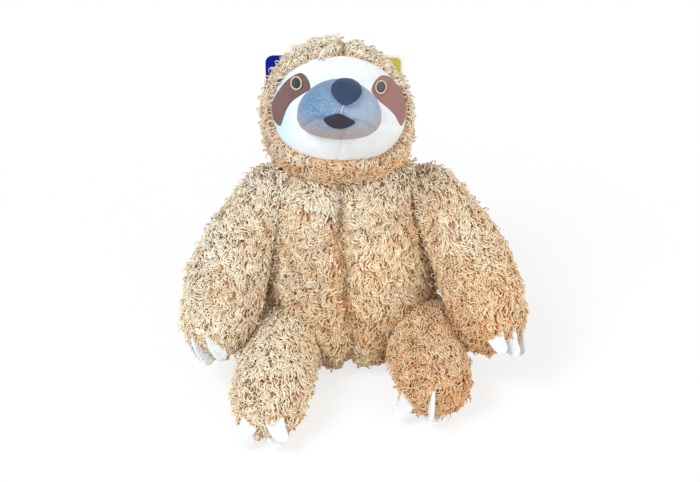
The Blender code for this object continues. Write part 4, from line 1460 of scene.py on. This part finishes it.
    def patch(self, side: int, name: str, panel: BVHTree, outline: np.ndarray, finish: ClothFinish) -> None:
        """Lays one eye patch on the panel, with a soft rolled edge.

        Args:
            side: 1 for the toy's left and -1 for its right.
            name: The side's name.
            panel: A search tree of the panel.
            outline: The patch's outline in millimetres, as if on the toy's left.
            finish: Its cloth.
        """
        bm = bmesh.new()
        middle = np.array(self.patch_centre)
        rings = []
        for number in range(1, self.patch_rings + 1):
            share = number / self.patch_rings
            ring = []
            for point in ((outline - middle) * share + middle) * (side, 1):
                spot = self.on(panel, (point,), self.patch_lift * (1 - share**self.patch_roll))
                ring.append(bm.verts.new(spot[0]) if len(spot) else None)
            rings.append(ring)
        for low, high in zip(rings[:-1], rings[1:]):
            for index in range(self.patch_sides):
                corners = (low[index - 1], low[index], high[index], high[index - 1])
                if None not in corners:
                    bm.faces.new(corners)
        bm.faces.new([vert for vert in rings[0] if vert is not None])
        bmesh.ops.recalc_face_normals(bm, faces=bm.faces)
        mesh = bpy.data.meshes.new(f"patch_{name}")
        bm.to_mesh(mesh)
        bm.free()
        obj = link(f"patch_{name}", mesh)
        finish_piece(obj, self.body, finish.material())
        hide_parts(f"eye_patch_{name}")

    def build(self, padding: Padding) -> None:
        """Builds the whole face.

        Args:
            padding: The pressure that swells the muzzle.
        """
        panel = self.soft(
            "face_cloth", ("face_panel",), self.panel_voxel, self.panel_rounds, FACE_VELOUR, "face_plush"
        )
        self.spread(panel)
        self.crease(panel, self.seam, *self.seam_crease)
        muzzle = self.soft(
            "muzzle_cloth", ("muzzle_cover", "muzzle_stuffing"), self.muzzle_voxel, self.muzzle_rounds,
            MUZZLE_VELOUR, "muzzle_velour",
        )
        self.lower(muzzle)
        depths = vertices_of(muzzle)[:, Axis.Y]
        padding.settle(muzzle, depths > depths.max() - self.muzzle_held)
        for line in self.smiles:
            self.crease(muzzle, line, *self.smile_crease)
        self.crease(muzzle, self.philtrum, *self.philtrum_crease)
        self.crease(muzzle, self.chin, *self.chin_crease)
        self.stitch("philtrum_thread", muzzle, self.philtrum, PALE_THREAD)
        smooth_panel = tree_of(panel)
        for number, side, table in ((1, "left", self.left_patch), (-1, "right", self.right_patch)):
            self.patch(number, side, smooth_panel, self.outline(table), PATCH_SUEDE)
            for name, node, rounds, finish, slot in (
                ("ring", "eye_ring", self.ring_rounds, CREAM_THREAD, "cream_thread"),
                ("eye", "pupil", self.pupil_rounds, NAVY_THREAD, "navy_thread"),
            ):
                self.soft(f"{name}_{side}", (f"{node}_{side}",), self.eye_voxel, rounds, finish, slot)
        nose = self.soft("nose_cloth", ("nose",), self.nose_voxel, self.nose_rounds, NOSE_SATIN, "nose_cloth")
        self.soft(
            "mouth_cloth", ("mouth_lining",), self.mouth_voxel, self.mouth_rounds, MOUTH_FELT, "mouth_cloth"
        )


@dataclass
class Trims:
    """The felt claws, the blank card and its pin."""

    voxel: float = 0.0008
    rounds: int = 5
    fuzz: float = 0.00025
    fuzz_wave: float = 0.003
    lowest: float = 0.0003

    def claw(self, node: str, limb: str, felt: bpy.types.Material) -> None:
        """Makes one felt claw in place of its solid.

        Args:
            node: The solid.
            limb: The body that it rides on.
            felt: Its material.
        """
        claw = softened(f"{node}_felt", (node,), self.voxel, self.rounds)
        places = vertices_of(claw)
        rough = self.fuzz * field_of(places, self.fuzz_wave, Chance.FUZZ)
        places += normals_of(claw) * rough[:, None]
        places[:, Axis.Z] = np.maximum(places[:, Axis.Z], self.lowest)
        set_vertices(claw, places)
        finish_piece(claw, limb, felt)
        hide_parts(node)

    def build(self) -> None:
        """Builds the claws, and dresses the card and its pin."""
        felt = CLAW_FELT.material()
        for limb in LIMBS:
            for node in frame["record"]["behaviour"]["bodies"][limb]:
                if "_claw_" in node:
                    self.claw(node, limb, felt)
        card, pin = frame["nodes"]["hang_card"], frame["nodes"]["card_pin"]
        printed = CardFinish("blank_card", *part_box("hang_card"))
        for node, finish, slot in ((card, printed, "card"), (pin, NylonFinish(), "nylon")):
            node.data.materials.clear()
            node.data.materials.append(finish.material())
            LOG.info("%s: dressed as %s", node.name, slot)


def seen_share(graph: Graph) -> Value:
    """Tells the rays that show a background: of the camera, of a reflection or through glass.

    Args:
        graph: The tree that the test is added to.

    Returns:
        1 for such a ray, and 0 for any other.
    """
    kinds = ("Camera", "Glossy", "Transmission")
    camera, glossy, clear = (graph.node("ShaderNodeLightPath", {}, {}, f"Is {kind} Ray") for kind in kinds)
    return graph.math("MAXIMUM", camera, graph.math("MAXIMUM", glossy, clear))


@dataclass
class Studio:
    """The floor, the light and the camera."""

    target: Vector = field(default_factory=lambda: Vector((0.005, -0.020, 0.122)))
    distance: float = 1.2
    elevation: float = 30.0
    lens: float = 61.714
    sensor: float = 36.0
    surroundings: float = 0.55
    white: Colour = (1.0, 1.0, 1.0)
    floor_size: float = 6.0
    floor_drop: float = 0.0002
    floor_rough: float = 0.9
    glow: float = 0.75
    fade: tuple[float, float] = (0.25, 0.60)
    lamps: tuple = (
        ("key", (-1.1, -0.9, 1.7), 0.9, 29.0, (0.93, 0.97, 1.0)),
        ("fill", (1.3, -1.0, 0.7), 1.2, 12.0, (1.0, 0.93, 0.85)),
    )

    def floor(self) -> None:
        """Lays a pale floor that the camera sees as plain white."""
        bm = bmesh.new()
        bmesh.ops.create_grid(bm, x_segments=1, y_segments=1, size=self.floor_size)
        mesh = bpy.data.meshes.new("floor")
        bm.to_mesh(mesh)
        bm.free()
        floor = link("floor", mesh)
        floor.location.z = -self.floor_drop
        graph = Graph("floor")
        graph.dress(Base_Color=self.white, Roughness=self.floor_rough)
        glow = graph.node("ShaderNodeEmission", {}, {"Color": self.white, "Strength": 1.0})
        plain = Value(graph, graph.shader.outputs[0])
        away = graph.node("ShaderNodeVectorMath", {"operation": "LENGTH"}, {0: graph.place()}, "Value")
        share = self.glow + (1.0 - self.glow) * graph.smooth(away, *self.fade)
        mixed = graph.node("ShaderNodeMixShader", {}, {0: seen_share(graph) * share, 1: plain, 2: glow})
        graph.put(graph.tree.nodes["Material Output"].inputs["Surface"], mixed)
        floor.data.materials.append(graph.material)

    def lamp(self, name: str, place: Vector, size: float, power: float, colour: Colour) -> None:
        """Hangs a soft lamp that faces the toy.

        Args:
            name: Its name.
            place: Where it hangs.
            size: Its width in metres.
            power: Its power in watts.
            colour: Its colour.
        """
        data = bpy.data.lights.new(name, "AREA")
        data.size = size
        data.energy = power
        data.color = colour
        lamp = bpy.data.objects.new(name, data)
        bpy.context.scene.collection.objects.link(lamp)
        lamp.location = place
        lamp.rotation_euler = (self.target - place).to_track_quat("-Z", "Y").to_euler()

    def build(self) -> None:
        """Sets up the floor, the lamps, the surroundings and the camera."""
        self.floor()
        for name, place, size, power, colour in self.lamps:
            self.lamp(name, Vector(place), size, power, colour)
        world = bpy.data.worlds.new("surroundings")
        graph = Graph(world.name, world)
        background = graph.tree.nodes["Background"].inputs
        strength = self.surroundings + (1.0 - self.surroundings) * seen_share(graph)
        graph.put(background["Color"], self.white)
        graph.put(background["Strength"], strength)
        scene = bpy.context.scene
        scene.world = world
        scene.view_settings.view_transform = "Standard"
        data = bpy.data.cameras.new("camera")
        data.lens = self.lens
        data.sensor_width = self.sensor
        camera = bpy.data.objects.new("camera", data)
        scene.collection.objects.link(camera)
        tilt = math.radians(self.elevation)
        camera.location = self.target + Vector((0, -math.cos(tilt), math.sin(tilt))) * self.distance
        camera.rotation_euler = (math.pi / 2 - tilt, 0, 0)
        scene.camera = camera


def main() -> None:
    """Builds every piece in order."""
    logging.basicConfig(level=logging.INFO, format="%(message)s")
    padding = Padding()
    torso = ("torso_skin", "torso_stuffing")
    head = ("head_skin", "head_stuffing")
    parts: list[FurPart] = [
        TorsoFur("torso", torso, (*torso, "pellet_bag"), DOWN, FIRST_SEED),
        HeadFur("head", (*head, "face_panel"), head, DOWN, FIRST_SEED + 1),
    ]
    for limb in LIMBS:
        flow = ARM_FLOW if "arm" in limb else LEG_FLOW
        nodes = (f"{limb}_skin", f"{limb}_stuffing")
        parts.append(FurPart(limb, nodes, nodes, flow, FIRST_SEED + len(parts), voxel=LIMB_VOXEL))
    cloth = FUR_BACKING.material()
    face = (tree_of(frame["nodes"]["face_panel"]), tree_of(frame["nodes"]["head_skin"]))
    for part in parts:
        part.build_base(padding, *face)
    fur = FurFinish().material()
    for part in parts:
        part.grow(Pile(), [other for other in parts if other is not part], *face, fur)
    for part in parts:
        part.dress(cloth)
    Face().build(padding)
    Trims().build()
    Studio().build()


if __name__ == "__main__":
    main()
